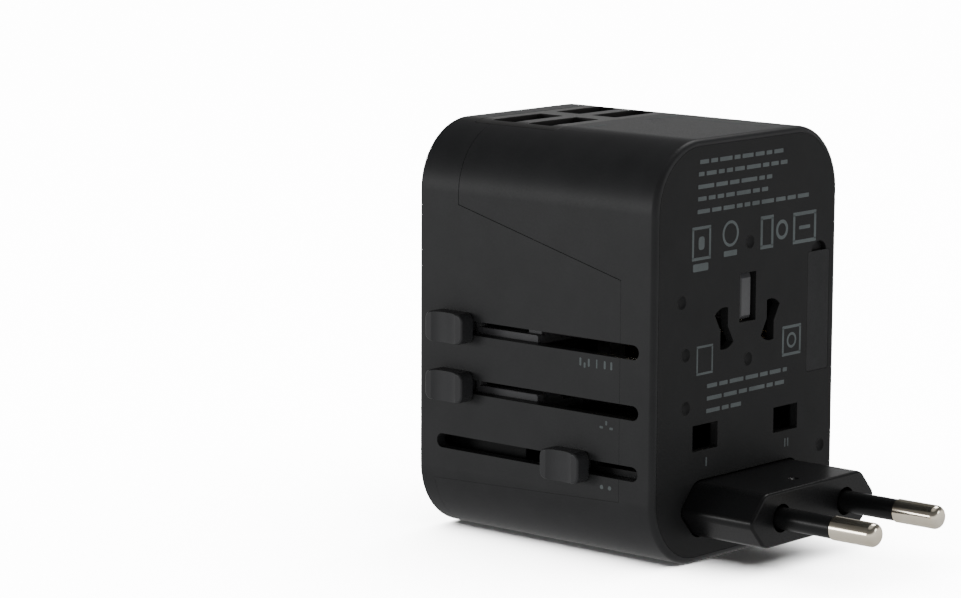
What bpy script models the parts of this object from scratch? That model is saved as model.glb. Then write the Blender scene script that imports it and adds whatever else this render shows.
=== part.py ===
"""Universal travel adapter: a block housing with a multi-standard socket on one face, three sets of
sliding plug pins on the opposite face, their sliders on one side, a release button on the other
and four USB-A ports on top.

Frame: metres, +Z up, origin at the centre of the housing's bottom. The pin face looks along -Y, the
socket face along +Y, the sliders sit on -X, the release button on +X and the USB ports on +Z.
At rest the European plug is out and the other two plugs are inside."""

import math

import bmesh
import bpy
from mathutils import Matrix, Vector

MM = 0.001

# Housing
WIDTH = 50.0 * MM
DEPTH = 51.7 * MM
HEIGHT = 71.0 * MM
CORNER_RADIUS = 11.7 * MM
WALL = 2.0 * MM
RIM = 1.1 * MM  # wall left around each face plate
RIM_FILLET = 0.5 * MM
PLATE = 1.5 * MM
PLATE_GAP = 0.25 * MM
SEAM = 0.2 * MM
FIT = 0.3 * MM  # usual clearance between neighbours

# Parting line between the two shells, seen from the side
SEAM_TOP_Y = 16.8 * MM
SEAM_BOTTOM_Y = 22.2 * MM
SEAM_WING_Y = -18.8 * MM
SEAM_HIGH = (57.4 * MM, 48.2 * MM)  # heights at the socket end and at the pin end
SEAM_LOW = (9.6 * MM, 11.2 * MM)

# Sliders
SLOT_HEIGHT = 2.44 * MM
SLOT_Y = (-22.75 * MM, 21.5 * MM)
EU_Z = 16.3 * MM
UK_Z = 26.5 * MM
US_Z = 36.6 * MM
KNOB_LENGTH = 8.4 * MM
KNOB_HEIGHT = 5.2 * MM
KNOB_RISE = 3.2 * MM
KNOB_HOME_Y = 17.3 * MM  # knob of a plug that is inside
STEM_LENGTH = 4.6 * MM
STEM_HEIGHT = 1.7 * MM
ARM_THICKNESS = 1.8 * MM
ARM_FRONT_Y = 0.9 * MM
ARM_DROP = (2.0 * MM, 0.1 * MM)  # the arm's underside and top, below the middle of its slot

# European plug
EU_OUT = 14.5 * MM  # block ahead of the pin face
EU_TRAVEL = 25.75 * MM
EU_CENTRE_Z = 9.2 * MM
EU_HALF_WIDTH = 17.5 * MM
EU_FLAT_HALF_WIDTH = 13.4 * MM
EU_HALF_HEIGHT = 4.6 * MM
EU_EDGE_RADIUS = 2.2 * MM
EU_PIN_HALF_PITCH = 8.9 * MM
EU_PIN_RADIUS = 2.0 * MM
EU_SLEEVE_RADIUS = 1.85 * MM
EU_CORE_RADIUS = 1.3 * MM
EU_BORE_RADIUS = 2.35 * MM
EU_PIN_OUT = 33.8 * MM
EU_TIP_LENGTH = 8.6 * MM

# British plug
UK_PIN_Z = 21.2 * MM
UK_PIN_HALF_PITCH = 11.1 * MM
UK_PIN = (6.35 * MM, 4.0 * MM)
UK_CORE = (4.75 * MM, 2.4 * MM)
UK_TIP_LENGTH = 8.7 * MM
EARTH_Z = 43.4 * MM
EARTH_PIN = (4.0 * MM, 7.9 * MM)
EARTH_LEAD = 5.0 * MM  # earth pin ahead of the other two
UK_REST = 0.4 * MM  # earth pin's tip behind the pin face
PIN_PLAY = 0.2 * MM

# American and Australian plug
US_BLADE_HALF_PITCH = 6.35 * MM
US_BLADE_Z = 38.8 * MM
US_BLADE = (1.5 * MM, 6.35 * MM)
US_REST = 5.8 * MM  # blade tips behind the pin face
US_TURN = math.radians(30.0)
US_DISC_RADIUS = 3.7 * MM

# Socket face
SOCKET_X = -2.15 * MM
SOCKET_PIN_Z = 34.5 * MM
EARTH_HOLE = (4.7 * MM, 9.4 * MM, 11.7 * MM)  # width, height, centre height
OVAL = (4.4 * MM, 10.0 * MM, 32.0 * MM)
SLANT_SLOT = (1.7 * MM, 6.8 * MM, 6.85 * MM, 17.5 * MM)  # width, length, offset, centre height
BLADE_SLOT = (1.8 * MM, 6.35 * MM, 22.7 * MM)  # width, offset, lower end
BLADE_SLOT_LENGTHS = (7.3 * MM, 8.7 * MM)
ROUND_PIN_OFFSET = 9.5 * MM
ROUND_PIN_RADIUS = 2.6 * MM
FLAT_PIN_OUTER = 14.25 * MM
FLAT_PIN_HEIGHT = 4.6 * MM

# Release button
BUTTON_Y = (-3.8 * MM, 12.0 * MM)
BUTTON_Z = (17.9 * MM, 39.3 * MM)
BUTTON_RADIUS = 2.8 * MM
BUTTON_GAP = 0.35 * MM
BUTTON_RISE = 0.6 * MM

# Fuse drawer
DOOR_INSET = (8.2 * MM, 2.1 * MM)  # the door's two edges, in from the button side
DOOR_Z = (28.4 * MM, 49.1 * MM)
FUSE_RADIUS = 2.5 * MM
FUSE_LENGTH = 19.6 * MM
FUSE_CAP_LENGTH = 5.0 * MM
FUSE_DEPTH = 4.95 * MM  # fuse axis behind the pin face

# USB ports
WINDOW_X = 16.8 * MM
WINDOW_Y = (2.4 * MM, 20.8 * MM)
PORT_X = 8.45 * MM
PORT_ROWS = (7.6 * MM, 15.7 * MM)
PORT_OPENING = (12.5 * MM, 5.3 * MM)
PORT_SHELL = (13.3 * MM, 5.9 * MM)
PORT_WALL = 0.45 * MM
BEZEL_THICKNESS = 2.6 * MM
BEZEL_FLANGE = 1.0 * MM

# Inner decks
DECK_Z = 50.4 * MM
DECK_THICKNESS = 1.2 * MM
BOARD_THICKNESS = 1.2 * MM
BOARD_STANDOFF = 0.7 * MM

PIN_FACE = -DEPTH / 2
SOCKET_FACE = DEPTH / 2
PIN_PLATE_BACK = PIN_FACE + PLATE
SOCKET_PLATE_BACK = SOCKET_FACE - PLATE
SIDE_X = WIDTH / 2
INNER_X = SIDE_X - WALL
DOOR_X = (SIDE_X - DOOR_INSET[0], SIDE_X - DOOR_INSET[1])
ARM_X = (-INNER_X + 0.4 * MM, -INNER_X + 0.4 * MM + ARM_THICKNESS)
EU_BLOCK_FRONT = PIN_FACE - EU_OUT
EU_KNOB_Y = KNOB_HOME_Y - EU_TRAVEL
BLOCK_BACK = PIN_PLATE_BACK + 3.05 * MM
BOARD_Z = DECK_Z + DECK_THICKNESS + BOARD_STANDOFF + FIT
BOARD_TOP = BOARD_Z + BOARD_THICKNESS

CUTTING = "CUTTING"  # stands for a helper's missing material


def clear_scene():
    for obj in list(bpy.data.objects):
        bpy.data.objects.remove(obj, do_unlink=True)


def add_collection(name):
    collection = bpy.data.collections.new(name)
    bpy.context.scene.collection.children.link(collection)
    return collection


def make_material(name, color, roughness, metallic=0.0):
    material = bpy.data.materials.new(name)
    material.use_nodes = True
    shader = material.node_tree.nodes["Principled BSDF"]
    shader.inputs["Base Color"].default_value = (*color, 1.0)
    shader.inputs["Roughness"].default_value = roughness
    shader.inputs["Metallic"].default_value = metallic
    material.diffuse_color = (*color, 1.0)
    return material


def hang(obj, parent, location):
    """Parent an object to an axis empty so that it lands at a location in the housing's frame."""
    obj.parent = parent
    obj.location = Vector(location)
    while parent:
        obj.location -= parent.location
        parent = parent.parent
    return obj


def joint_empty(name, location, parent=None):
    empty = bpy.data.objects.new(name, None)
    empty.empty_display_size = 0.01
    parts.objects.link(empty)
    return hang(empty, parent, location)


def place(obj, material, parent, location=(0.0, 0.0, 0.0), rotation=(0.0, 0.0, 0.0)):
    """Link an object as a part, or as a wire helper when it has no material."""
    if material is CUTTING:
        cutters.objects.link(obj)
        obj.hide_render = True
        obj.display_type = "WIRE"
    else:
        parts.objects.link(obj)
        obj.data.materials.append(material)
    obj.rotation_euler = rotation
    return hang(obj, parent, location)


def mesh_object(name, bm, material, parent, location, rotation=(0.0, 0.0, 0.0)):
    mesh = bpy.data.meshes.new(name)
    bm.to_mesh(mesh)
    bm.free()
    return place(bpy.data.objects.new(name, mesh), material, parent, location, rotation)


def edges_along(bm, axis, length):
    return [
        edge
        for edge in bm.edges
        if abs(abs((edge.verts[0].co - edge.verts[1].co)[axis]) - length) < 1e-7
    ]


def bevel(bm, edges, width, segments):
    bmesh.ops.bevel(
        bm, geom=edges, offset=width, segments=segments, profile=0.5, affect="EDGES", clamp_overlap=True
    )


def box(name, x, y, z, material=CUTTING, parent=None, around=None, radius=0.0, segments=3):
    """A box between three pairs of limits, its edges along one axis rounded."""
    spans = [pair[1] - pair[0] for pair in (x, y, z)]
    centre = [sum(pair) / 2 for pair in (x, y, z)]
    bm = bmesh.new()
    bmesh.ops.create_cube(bm, size=1.0, matrix=Matrix.Diagonal((*spans, 1.0)))
    if radius:
        axis = "XYZ".index(around)
        bevel(bm, edges_along(bm, axis, spans[axis]), radius, segments)
    return mesh_object(name, bm, material, parent, centre)


def block(name, centre, size, material=CUTTING, parent=None, **rounding):
    limits = [(c - s / 2, c + s / 2) for c, s in zip(centre, size)]
    return box(name, *limits, material, parent, **rounding)


def chamfer_end(obj, axis, side, width, segments=1):
    """Bevel the edge loop of a box's end face."""
    bm = bmesh.new()
    bm.from_mesh(obj.data)
    limit = max(side * vert.co[axis] for vert in bm.verts)
    loop = [
        edge for edge in bm.edges if all(side * vert.co[axis] > limit - 1e-7 for vert in edge.verts)
    ]
    bevel(bm, loop, width, segments)
    bm.to_mesh(obj.data)
    bm.free()
    return obj


def cylinder(name, centre, radius, length, axis, material=CUTTING, parent=None, sides=24):
    turn = {"X": Matrix.Rotation(math.pi / 2, 4, "Y"), "Y": Matrix.Rotation(math.pi / 2, 4, "X")}
    bm = bmesh.new()
    bmesh.ops.create_cone(
        bm, cap_ends=True, segments=sides, radius1=radius, radius2=radius, depth=length,
        matrix=turn.get(axis, Matrix.Identity(4)),
    )
    return mesh_object(name, bm, material, parent, centre)


def turned(name, profile, location, material, parent, rotation=(0.0, 0.0, 0.0), steps=20):
    """A solid of revolution about its own Z, from (radius, height) pairs that run from top to bottom."""
    mesh = bpy.data.meshes.new(name)
    points = [(radius, 0.0, height) for radius, height in profile]
    mesh.from_pydata(points, [(i, i + 1) for i in range(len(points) - 1)], [])
    obj = place(bpy.data.objects.new(name, mesh), material, parent, location, rotation)
    screw = obj.modifiers.new("Turn", "SCREW")
    screw.steps = steps
    screw.render_steps = steps
    screw.use_merge_vertices = True
    screw.merge_threshold = 1e-6
    return obj


def outline_solid(name, outline, span, plane, material=CUTTING, parent=None, holes=()):
    """A flat outline with holes in the plane XY, XZ or YZ, as thick as the span along its normal."""
    turn = {"XY": (0.0, 0.0, 0.0), "XZ": (math.pi / 2, 0.0, 0.0), "YZ": (math.pi / 2, 0.0, math.pi / 2)}
    normal = {"XY": 2, "XZ": 1, "YZ": 0}[plane]
    curve = bpy.data.curves.new(name, "CURVE")
    curve.dimensions = "2D"
    curve.fill_mode = "BOTH"
    curve.extrude = (span[1] - span[0]) / 2
    for points in (outline, *holes):
        spline = curve.splines.new("POLY")
        spline.points.add(len(points) - 1)
        for knot, (u, v) in zip(spline.points, points):
            knot.co = (u, v, 0.0, 1.0)
        spline.use_cyclic_u = True
    guide = bpy.data.objects.new(name + "_guide", curve)
    cutters.objects.link(guide)
    bpy.context.view_layer.update()
    graph = bpy.context.evaluated_depsgraph_get()
    mesh = bpy.data.meshes.new_from_object(guide.evaluated_get(graph))
    bpy.data.objects.remove(guide, do_unlink=True)
    bm = bmesh.new()
    bm.from_mesh(mesh)
    bmesh.ops.remove_doubles(bm, verts=bm.verts, dist=1e-6)
    bmesh.ops.recalc_face_normals(bm, faces=bm.faces)
    location = [0.0, 0.0, 0.0]
    location[normal] = sum(span) / 2
    return mesh_object(name, bm, material, parent, location, turn[plane])


def combine(target, operation, tools):
    for tool in tools:
        modifier = target.modifiers.new(tool.name, "BOOLEAN")
        modifier.operation = operation
        modifier.solver = "EXACT"
        modifier.object = tool
    return target


def cut(target, *tools):
    return combine(target, "DIFFERENCE", tools)


def join(target, *tools):
    return combine(target, "UNION", tools)


def rounded_outline(corners, steps=6):
    """Points of a polygon whose corners (u, v, radius) are rounded."""
    points = []
    for index, (u, v, radius) in enumerate(corners):
        here = Vector((u, v))
        if not radius:
            points.append(tuple(here))
            continue
        before = (Vector(corners[index - 1][:2]) - here).normalized()
        after = (Vector(corners[(index + 1) % len(corners)][:2]) - here).normalized()
        half = before.angle(after) / 2
        centre = here + (before + after).normalized() * radius / math.sin(half)
        start = here + before * radius / math.tan(half) - centre
        end = here + after * radius / math.tan(half) - centre
        first = math.atan2(start.y, start.x)
        sweep = (math.atan2(end.y, end.x) - first + math.pi) % (2 * math.pi) - math.pi
        for step in range(steps + 1):
            angle = first + sweep * step / steps
            points.append((centre.x + radius * math.cos(angle), centre.y + radius * math.sin(angle)))
    return points


def rectangle(centre_u, centre_v, half_u, half_v, radius=0.0, steps=3):
    signs = ((-1, -1), (1, -1), (1, 1), (-1, 1))
    corners = [(centre_u + su * half_u, centre_v + sv * half_v, radius) for su, sv in signs]
    return rounded_outline(corners, steps)


def turned_outline(points, centre, angle):
    """Points about (0, 0), turned counter-clockwise and moved to a centre."""
    cosine, sine = math.cos(angle), math.sin(angle)
    return [(centre[0] + u * cosine - v * sine, centre[1] + u * sine + v * cosine) for u, v in points]


def offset_outline(points, distance):
    """A counter-clockwise polygon grown outwards by a distance."""
    grown = []
    for index, point in enumerate(points):
        here = Vector(point)
        into = (here - Vector(points[index - 1])).normalized()
        out = (Vector(points[(index + 1) % len(points)]) - here).normalized()
        normal_in = Vector((into.y, -into.x))
        normal_out = Vector((out.y, -out.x))
        shift = (normal_in + normal_out) * distance / (1 + normal_in.dot(normal_out))
        grown.append(tuple(here + shift))
    return grown


def face_outline(inset):
    """The housing's cross-section, inset from its side surface."""
    return rectangle(
        0.0, HEIGHT / 2, SIDE_X - inset, HEIGHT / 2 - inset, CORNER_RADIUS - inset, steps=8
    )


def coil(name, start, axis, length, radius, wire, turns, material, parent):
    """A round wire spring that starts at a point and runs along +X or +Z."""
    curve = bpy.data.curves.new(name, "CURVE")
    curve.dimensions = "3D"
    curve.bevel_depth = wire
    curve.bevel_resolution = 1
    curve.use_fill_caps = True
    per_turn = 12
    count = turns * per_turn + 1
    spline = curve.splines.new("POLY")
    spline.points.add(count - 1)
    for index, knot in enumerate(spline.points):
        angle = 2 * math.pi * index / per_turn
        along = wire + (length - 2 * wire) * index / (count - 1)
        across = (radius * math.cos(angle), radius * math.sin(angle))
        place_at = (along, *across) if axis == "X" else (*across, along)
        knot.co = (*place_at, 1.0)
    return place(bpy.data.objects.new(name, curve), material, parent, start)


# Housing ---------------------------------------------------------------------------------------


def sleeve(name, material):
    """The whole tube of the housing, before the parting line divides it."""
    shell = box(
        name, (-SIDE_X, SIDE_X), (PIN_FACE, SOCKET_FACE), (0.0, HEIGHT), material,
        around="Y", radius=CORNER_RADIUS, segments=8,
    )
    chamfer_end(shell, 1, -1, RIM_FILLET, 2)
    chamfer_end(shell, 1, 1, RIM_FILLET, 2)
    reach = 1.0 * MM
    bore = outline_solid(name + "_bore", face_outline(WALL), (PIN_FACE - reach, SOCKET_FACE + reach), "XZ")
    pin_rebate = outline_solid(
        name + "_pin_rebate", face_outline(RIM), (PIN_FACE - reach, PIN_PLATE_BACK + FIT), "XZ"
    )
    socket_rebate = outline_solid(
        name + "_socket_rebate", face_outline(RIM), (SOCKET_PLATE_BACK - FIT, SOCKET_FACE + reach), "XZ"
    )
    window = box(
        name + "_window", (-WINDOW_X, WINDOW_X), WINDOW_Y, (HEIGHT - 2.5 * WALL, HEIGHT + reach),
        around="Z", radius=0.8 * MM,
    )
    cut(shell, bore, pin_rebate, socket_rebate, window)
    for label, height in (("eu", EU_Z), ("uk", UK_Z), ("us", US_Z)):
        slot = box(
            f"{name}_{label}_slot", (-SIDE_X - reach, -INNER_X + reach), SLOT_Y,
            (height - SLOT_HEIGHT / 2, height + SLOT_HEIGHT / 2), around="X",
            radius=SLOT_HEIGHT / 2 - 0.01 * MM, segments=5,
        )
        cut(shell, slot)
    return shell


def build_housing():
    beyond = 1.0 * MM
    region = [
        (SEAM_BOTTOM_Y, -beyond),
        (SOCKET_FACE + beyond, -beyond),
        (SOCKET_FACE + beyond, HEIGHT + beyond),
        (SEAM_TOP_Y, HEIGHT + beyond),
        (SEAM_TOP_Y, SEAM_HIGH[0]),
        (SEAM_WING_Y, SEAM_HIGH[1]),
        (SEAM_WING_Y, SEAM_LOW[1]),
        (SEAM_BOTTOM_Y, SEAM_LOW[0]),
    ]
    across = (-SIDE_X - beyond, SIDE_X + beyond)
    socket_shell = sleeve("socket_shell", black_plastic)
    socket_side = outline_solid("socket_side", region, across, "YZ")
    opening = box(
        "button_opening", (INNER_X - beyond, SIDE_X + beyond), BUTTON_Y, BUTTON_Z,
        around="X", radius=BUTTON_RADIUS, segments=5,
    )
    cut(combine(socket_shell, "INTERSECT", [socket_side]), opening)
    pin_shell = sleeve("pin_shell", black_plastic)
    cut(pin_shell, outline_solid("socket_side_and_seam", offset_outline(region, SEAM), across, "YZ"))


def build_socket_plate():
    """The face that takes the user's plug."""
    earth_width, earth_height, earth_z = EARTH_HOLE
    oval_width, oval_height, oval_z = OVAL
    slant_width, slant_length, slant_offset, slant_z = SLANT_SLOT
    blade_width, blade_offset, blade_low = BLADE_SLOT
    holes = [
        rectangle(SOCKET_X, earth_z, earth_width / 2, earth_height / 2),
        rectangle(
            SOCKET_X, oval_z, oval_width / 2, oval_height / 2, oval_width / 2 - 0.01 * MM, steps=8
        ),
    ]
    slit = rectangle(0.0, 0.0, slant_width / 2, slant_length / 2)
    for side, length in zip((-1, 1), BLADE_SLOT_LENGTHS):
        centre = (SOCKET_X + side * slant_offset, slant_z)
        holes.append(turned_outline(slit, centre, -side * US_TURN))
        holes.append(
            rectangle(
                SOCKET_X + side * blade_offset, blade_low + length / 2, blade_width / 2, length / 2
            )
        )
    plate = outline_solid(
        "socket_plate", face_outline(RIM + PLATE_GAP), (SOCKET_PLATE_BACK, SOCKET_FACE), "XZ",
        grey_plastic, holes=holes,
    )
    through = (SOCKET_PLATE_BACK - 1.0 * MM, SOCKET_FACE + 1.0 * MM)
    for side, label in ((-1, "left"), (1, "right")):
        x = SOCKET_X + side * ROUND_PIN_OFFSET
        round_hole = cylinder(
            f"round_pin_hole_{label}", (x, sum(through) / 2, SOCKET_PIN_Z), ROUND_PIN_RADIUS,
            through[1] - through[0], "Y",
        )
        limits = sorted((x, SOCKET_X + side * FLAT_PIN_OUTER))
        half = FLAT_PIN_HEIGHT / 2
        flat_hole = box(
            f"flat_pin_hole_{label}", limits, through, (SOCKET_PIN_Z - half, SOCKET_PIN_Z + half)
        )
        cut(plate, round_hole, flat_hole)


def bow_tie(side):
    """The opening that a blade needs at every angle from upright to fully turned, about (0, 0)."""
    half = US_BLADE[0] / 2 + PIN_PLAY + 0.05 * MM
    reach = US_BLADE[1] / 2 + PIN_PLAY + 0.05 * MM
    waist = half * math.tan(US_TURN / 2)
    radius = math.hypot(half, reach)
    lean = math.atan2(half, reach)
    steps = 5
    points = [(half, waist)]
    for step in range(steps + 1):
        angle = -lean + (US_TURN + 2 * lean) * step / steps
        points.append((-radius * math.sin(angle), radius * math.cos(angle)))
    points += [(-u, -v) for u, v in points]
    if side > 0:
        points = [(-u, v) for u, v in reversed(points)]
    return points


def eu_outline(grow):
    """The elongated hexagon of the European plug, its corners rounded."""
    right = [
        (EU_FLAT_HALF_WIDTH, -EU_HALF_HEIGHT, EU_EDGE_RADIUS),
        (EU_HALF_WIDTH, 0.0, EU_EDGE_RADIUS / 2),
        (EU_FLAT_HALF_WIDTH, EU_HALF_HEIGHT, EU_EDGE_RADIUS),
    ]
    left = [(-u, v, radius) for u, v, radius in reversed(right)]
    points = offset_outline(rounded_outline(right + left, 2), grow)
    return [(u, v + EU_CENTRE_Z) for u, v in points]


def build_pin_plate():
    """The face that the plug pins come out of, with the fuse drawer's opening and its finger notch."""
    pin_half = [size / 2 + PIN_PLAY for size in UK_PIN]
    earth_half = [size / 2 + PIN_PLAY for size in EARTH_PIN]
    door_gap = 0.2 * MM
    holes = [
        rectangle(-UK_PIN_HALF_PITCH, UK_PIN_Z, *pin_half),
        rectangle(UK_PIN_HALF_PITCH, UK_PIN_Z, *pin_half),
        rectangle(0.0, EARTH_Z, *earth_half),
        eu_outline(FIT),
        rectangle(
            sum(DOOR_X) / 2, sum(DOOR_Z) / 2, (DOOR_X[1] - DOOR_X[0]) / 2 + door_gap,
            (DOOR_Z[1] - DOOR_Z[0]) / 2 + door_gap, 0.6 * MM,
        ),
    ]
    for side in (-1, 1):
        centre = (side * US_BLADE_HALF_PITCH, US_BLADE_Z)
        holes.append(turned_outline(bow_tie(side), centre, 0.0))
    plate = outline_solid(
        "pin_plate", face_outline(RIM + PLATE_GAP), (PIN_FACE, PIN_PLATE_BACK), "XZ",
        grey_plastic, holes=holes,
    )
    notch_rise = 1.6 * MM
    notch_half_width = 2.05 * MM
    notch = cylinder(
        "finger_notch", (sum(DOOR_X) / 2, PIN_FACE, DOOR_Z[1] + door_gap - 0.1 * MM), notch_half_width,
        1.6 * MM, "Y",
    )
    for vert in notch.data.vertices:
        vert.co.z *= notch_rise / notch_half_width
    cut(plate, notch)


# Sliding plugs ---------------------------------------------------------------------------------


def build_knob(name, y, z, parent):
    """A slider's knob, with its thumb hollow and the stem that goes in through the slot."""
    outer = -SIDE_X - KNOB_RISE
    inner = -SIDE_X - FIT
    knob = box(
        name, (outer, inner), (y - KNOB_LENGTH / 2, y + KNOB_LENGTH / 2),
        (z - KNOB_HEIGHT / 2, z + KNOB_HEIGHT / 2), gloss_plastic, parent,
        around="X", radius=1.2 * MM, segments=3,
    )
    chamfer_end(knob, 0, -1, 0.4 * MM, 2)
    hollow_radius = 9.0 * MM
    hollow_depth = 0.8 * MM
    hollow = cylinder(
        name + "_hollow", (outer + hollow_depth - hollow_radius, y, z), hollow_radius,
        KNOB_HEIGHT * 2, "Z", parent=parent, sides=64,
    )
    stem = box(
        name + "_stem", (inner - 0.3 * MM, ARM_X[1] - 0.2 * MM),
        (y - STEM_LENGTH / 2, y + STEM_LENGTH / 2), (z - STEM_HEIGHT / 2, z + STEM_HEIGHT / 2),
        parent=parent,
    )
    return join(cut(knob, hollow), stem)


def arm_tools(name, knob_y, z, front, parent):
    """The arm that runs behind the slot and the pad that holds the knob's stem, and the stem's hole."""
    pad_half = 2.2 * MM
    pad_reach = STEM_LENGTH / 2 + 1.25 * MM
    arm_y = (front, knob_y - pad_reach + 0.5 * MM)
    arm_z = (z - ARM_DROP[0], z - ARM_DROP[1])
    arm = box(
        name + "_arm", ARM_X, arm_y, arm_z, parent=parent, around="X", radius=0.35 * MM, segments=2
    )
    pad = box(
        name + "_pad", ARM_X, (knob_y - pad_reach, knob_y + pad_reach), (z - pad_half, z + pad_half),
        parent=parent,
    )
    hole = block(
        name + "_stem_hole", (sum(ARM_X) / 2, knob_y, z),
        (3 * ARM_THICKNESS, STEM_LENGTH + 2 * FIT, STEM_HEIGHT + 2 * FIT), parent=parent,
    )
    return arm, pad, hole


def build_eu_plug():
    slide = joint_empty("eu_slide_axis", (0.0, PIN_FACE, EU_CENTRE_Z))
    telescope = joint_empty("eu_pin_telescope_axis", (0.0, PIN_FACE, EU_CENTRE_Z), slide)
    build_knob("eu_knob", EU_KNOB_Y, EU_Z, slide)

    flange_front = PIN_PLATE_BACK + 1.15 * MM
    body = outline_solid(
        "eu_block", eu_outline(0.0), (EU_BLOCK_FRONT, BLOCK_BACK), "XZ", black_plastic, slide
    )
    chamfer_end(body, 2, 1, 0.5 * MM)
    flange_y = (flange_front, BLOCK_BACK)
    flange = outline_solid("eu_flange", eu_outline(1.0 * MM), flange_y, "XZ", parent=slide)
    foot = box(
        "eu_foot", (ARM_X[0], -14.0 * MM), (flange_front, BLOCK_BACK),
        (EU_CENTRE_Z + EU_HALF_HEIGHT - 0.4 * MM, EU_Z - ARM_DROP[1]), parent=slide,
    )
    arm, pad, hole = arm_tools("eu", EU_KNOB_Y, EU_Z, flange_front, slide)
    bores = [
        cylinder(
            f"eu_bore_{label}", (side * EU_PIN_HALF_PITCH, EU_BLOCK_FRONT, EU_CENTRE_Z),
            EU_BORE_RADIUS, 4 * EU_OUT, "Y", parent=slide,
        )
        for side, label in ((-1, "left"), (1, "right"))
    ]
    pocket_half = EARTH_HOLE[0] / 2 + FIT
    pocket = box(
        "earth_pocket", (SOCKET_X - pocket_half, SOCKET_X + pocket_half),
        (BLOCK_BACK - 4.5 * MM, BLOCK_BACK + 1.0 * MM), (EARTH_HOLE[2] - EARTH_HOLE[1] / 2, EU_Z),
        parent=slide,
    )
    cut(join(body, flange, foot, arm, pad), hole, pocket, *bores)

    tip = EU_PIN_OUT
    root = EU_PIN_OUT - EU_TIP_LENGTH
    bar_front = PIN_FACE - BLOCK_BACK - 0.7 * MM
    bar_thickness = 3.0 * MM
    sleeve_length = 18.0 * MM
    nose = 1.0 * MM
    pin_profile = [(0.0, tip)]
    for step in range(1, 5):
        angle = math.pi / 2 * step / 4
        pin_profile.append((
            EU_PIN_RADIUS - nose + nose * math.sin(angle), tip - nose + nose * math.cos(angle)
        ))
    pin_profile += [
        (EU_PIN_RADIUS, root),
        (EU_CORE_RADIUS, root),
        (EU_CORE_RADIUS, bar_front + 0.3 * MM),
        (EU_PIN_RADIUS, bar_front + 0.3 * MM),
        (EU_PIN_RADIUS, bar_front - bar_thickness - FIT),
        (EU_PIN_RADIUS + 0.8 * MM, bar_front - bar_thickness - FIT),
        (EU_PIN_RADIUS + 0.8 * MM, bar_front - bar_thickness - FIT - 1.0 * MM),
        (0.0, bar_front - bar_thickness - FIT - 1.0 * MM),
    ]
    sleeve_inner = EU_CORE_RADIUS + 0.25 * MM
    sleeve_profile = [
        (sleeve_inner, root - 0.1 * MM),
        (EU_SLEEVE_RADIUS, root - 0.1 * MM),
        (EU_SLEEVE_RADIUS, root - sleeve_length),
        (sleeve_inner, root - sleeve_length),
        (sleeve_inner, root - 0.1 * MM),
    ]
    # The carrier dips in the middle, where the earth pin of a plug in the socket face comes in
    boss = 4.0 * MM
    bar_side = EU_PIN_HALF_PITCH + boss
    gap_side = EU_PIN_HALF_PITCH - boss + 1.0 * MM
    bar_low = EU_CENTRE_Z - 5.6 * MM
    bar_high = EU_CENTRE_Z + 3.2 * MM
    gap_low = EARTH_HOLE[2] - EARTH_HOLE[1] / 2 - FIT
    bar_outline = [
        (-bar_side, bar_low),
        (bar_side, bar_low),
        (bar_side, bar_high),
        (gap_side, bar_high),
        (gap_side, gap_low),
        (-gap_side, gap_low),
        (-gap_side, bar_high),
        (-bar_side, bar_high),
    ]
    bar_y = (PIN_FACE - bar_front, PIN_FACE - bar_front + bar_thickness)
    bar = outline_solid("eu_pin_carrier", bar_outline, bar_y, "XZ", black_plastic, telescope)
    outward = (math.pi / 2, 0.0, 0.0)
    for side, label in ((-1, "left"), (1, "right")):
        x = side * EU_PIN_HALF_PITCH
        at = (x, PIN_FACE, EU_CENTRE_Z)
        turned(f"eu_pin_{label}", pin_profile, at, nickel, telescope, outward)
        turned(f"eu_pin_sleeve_{label}", sleeve_profile, at, black_plastic, telescope, outward)
        cut(
            bar,
            cylinder(
                f"eu_bar_hole_{label}", (x, PIN_FACE - bar_front, EU_CENTRE_Z),
                EU_PIN_RADIUS + FIT, 4 * bar_thickness, "Y", parent=telescope,
            ),
        )


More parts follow.
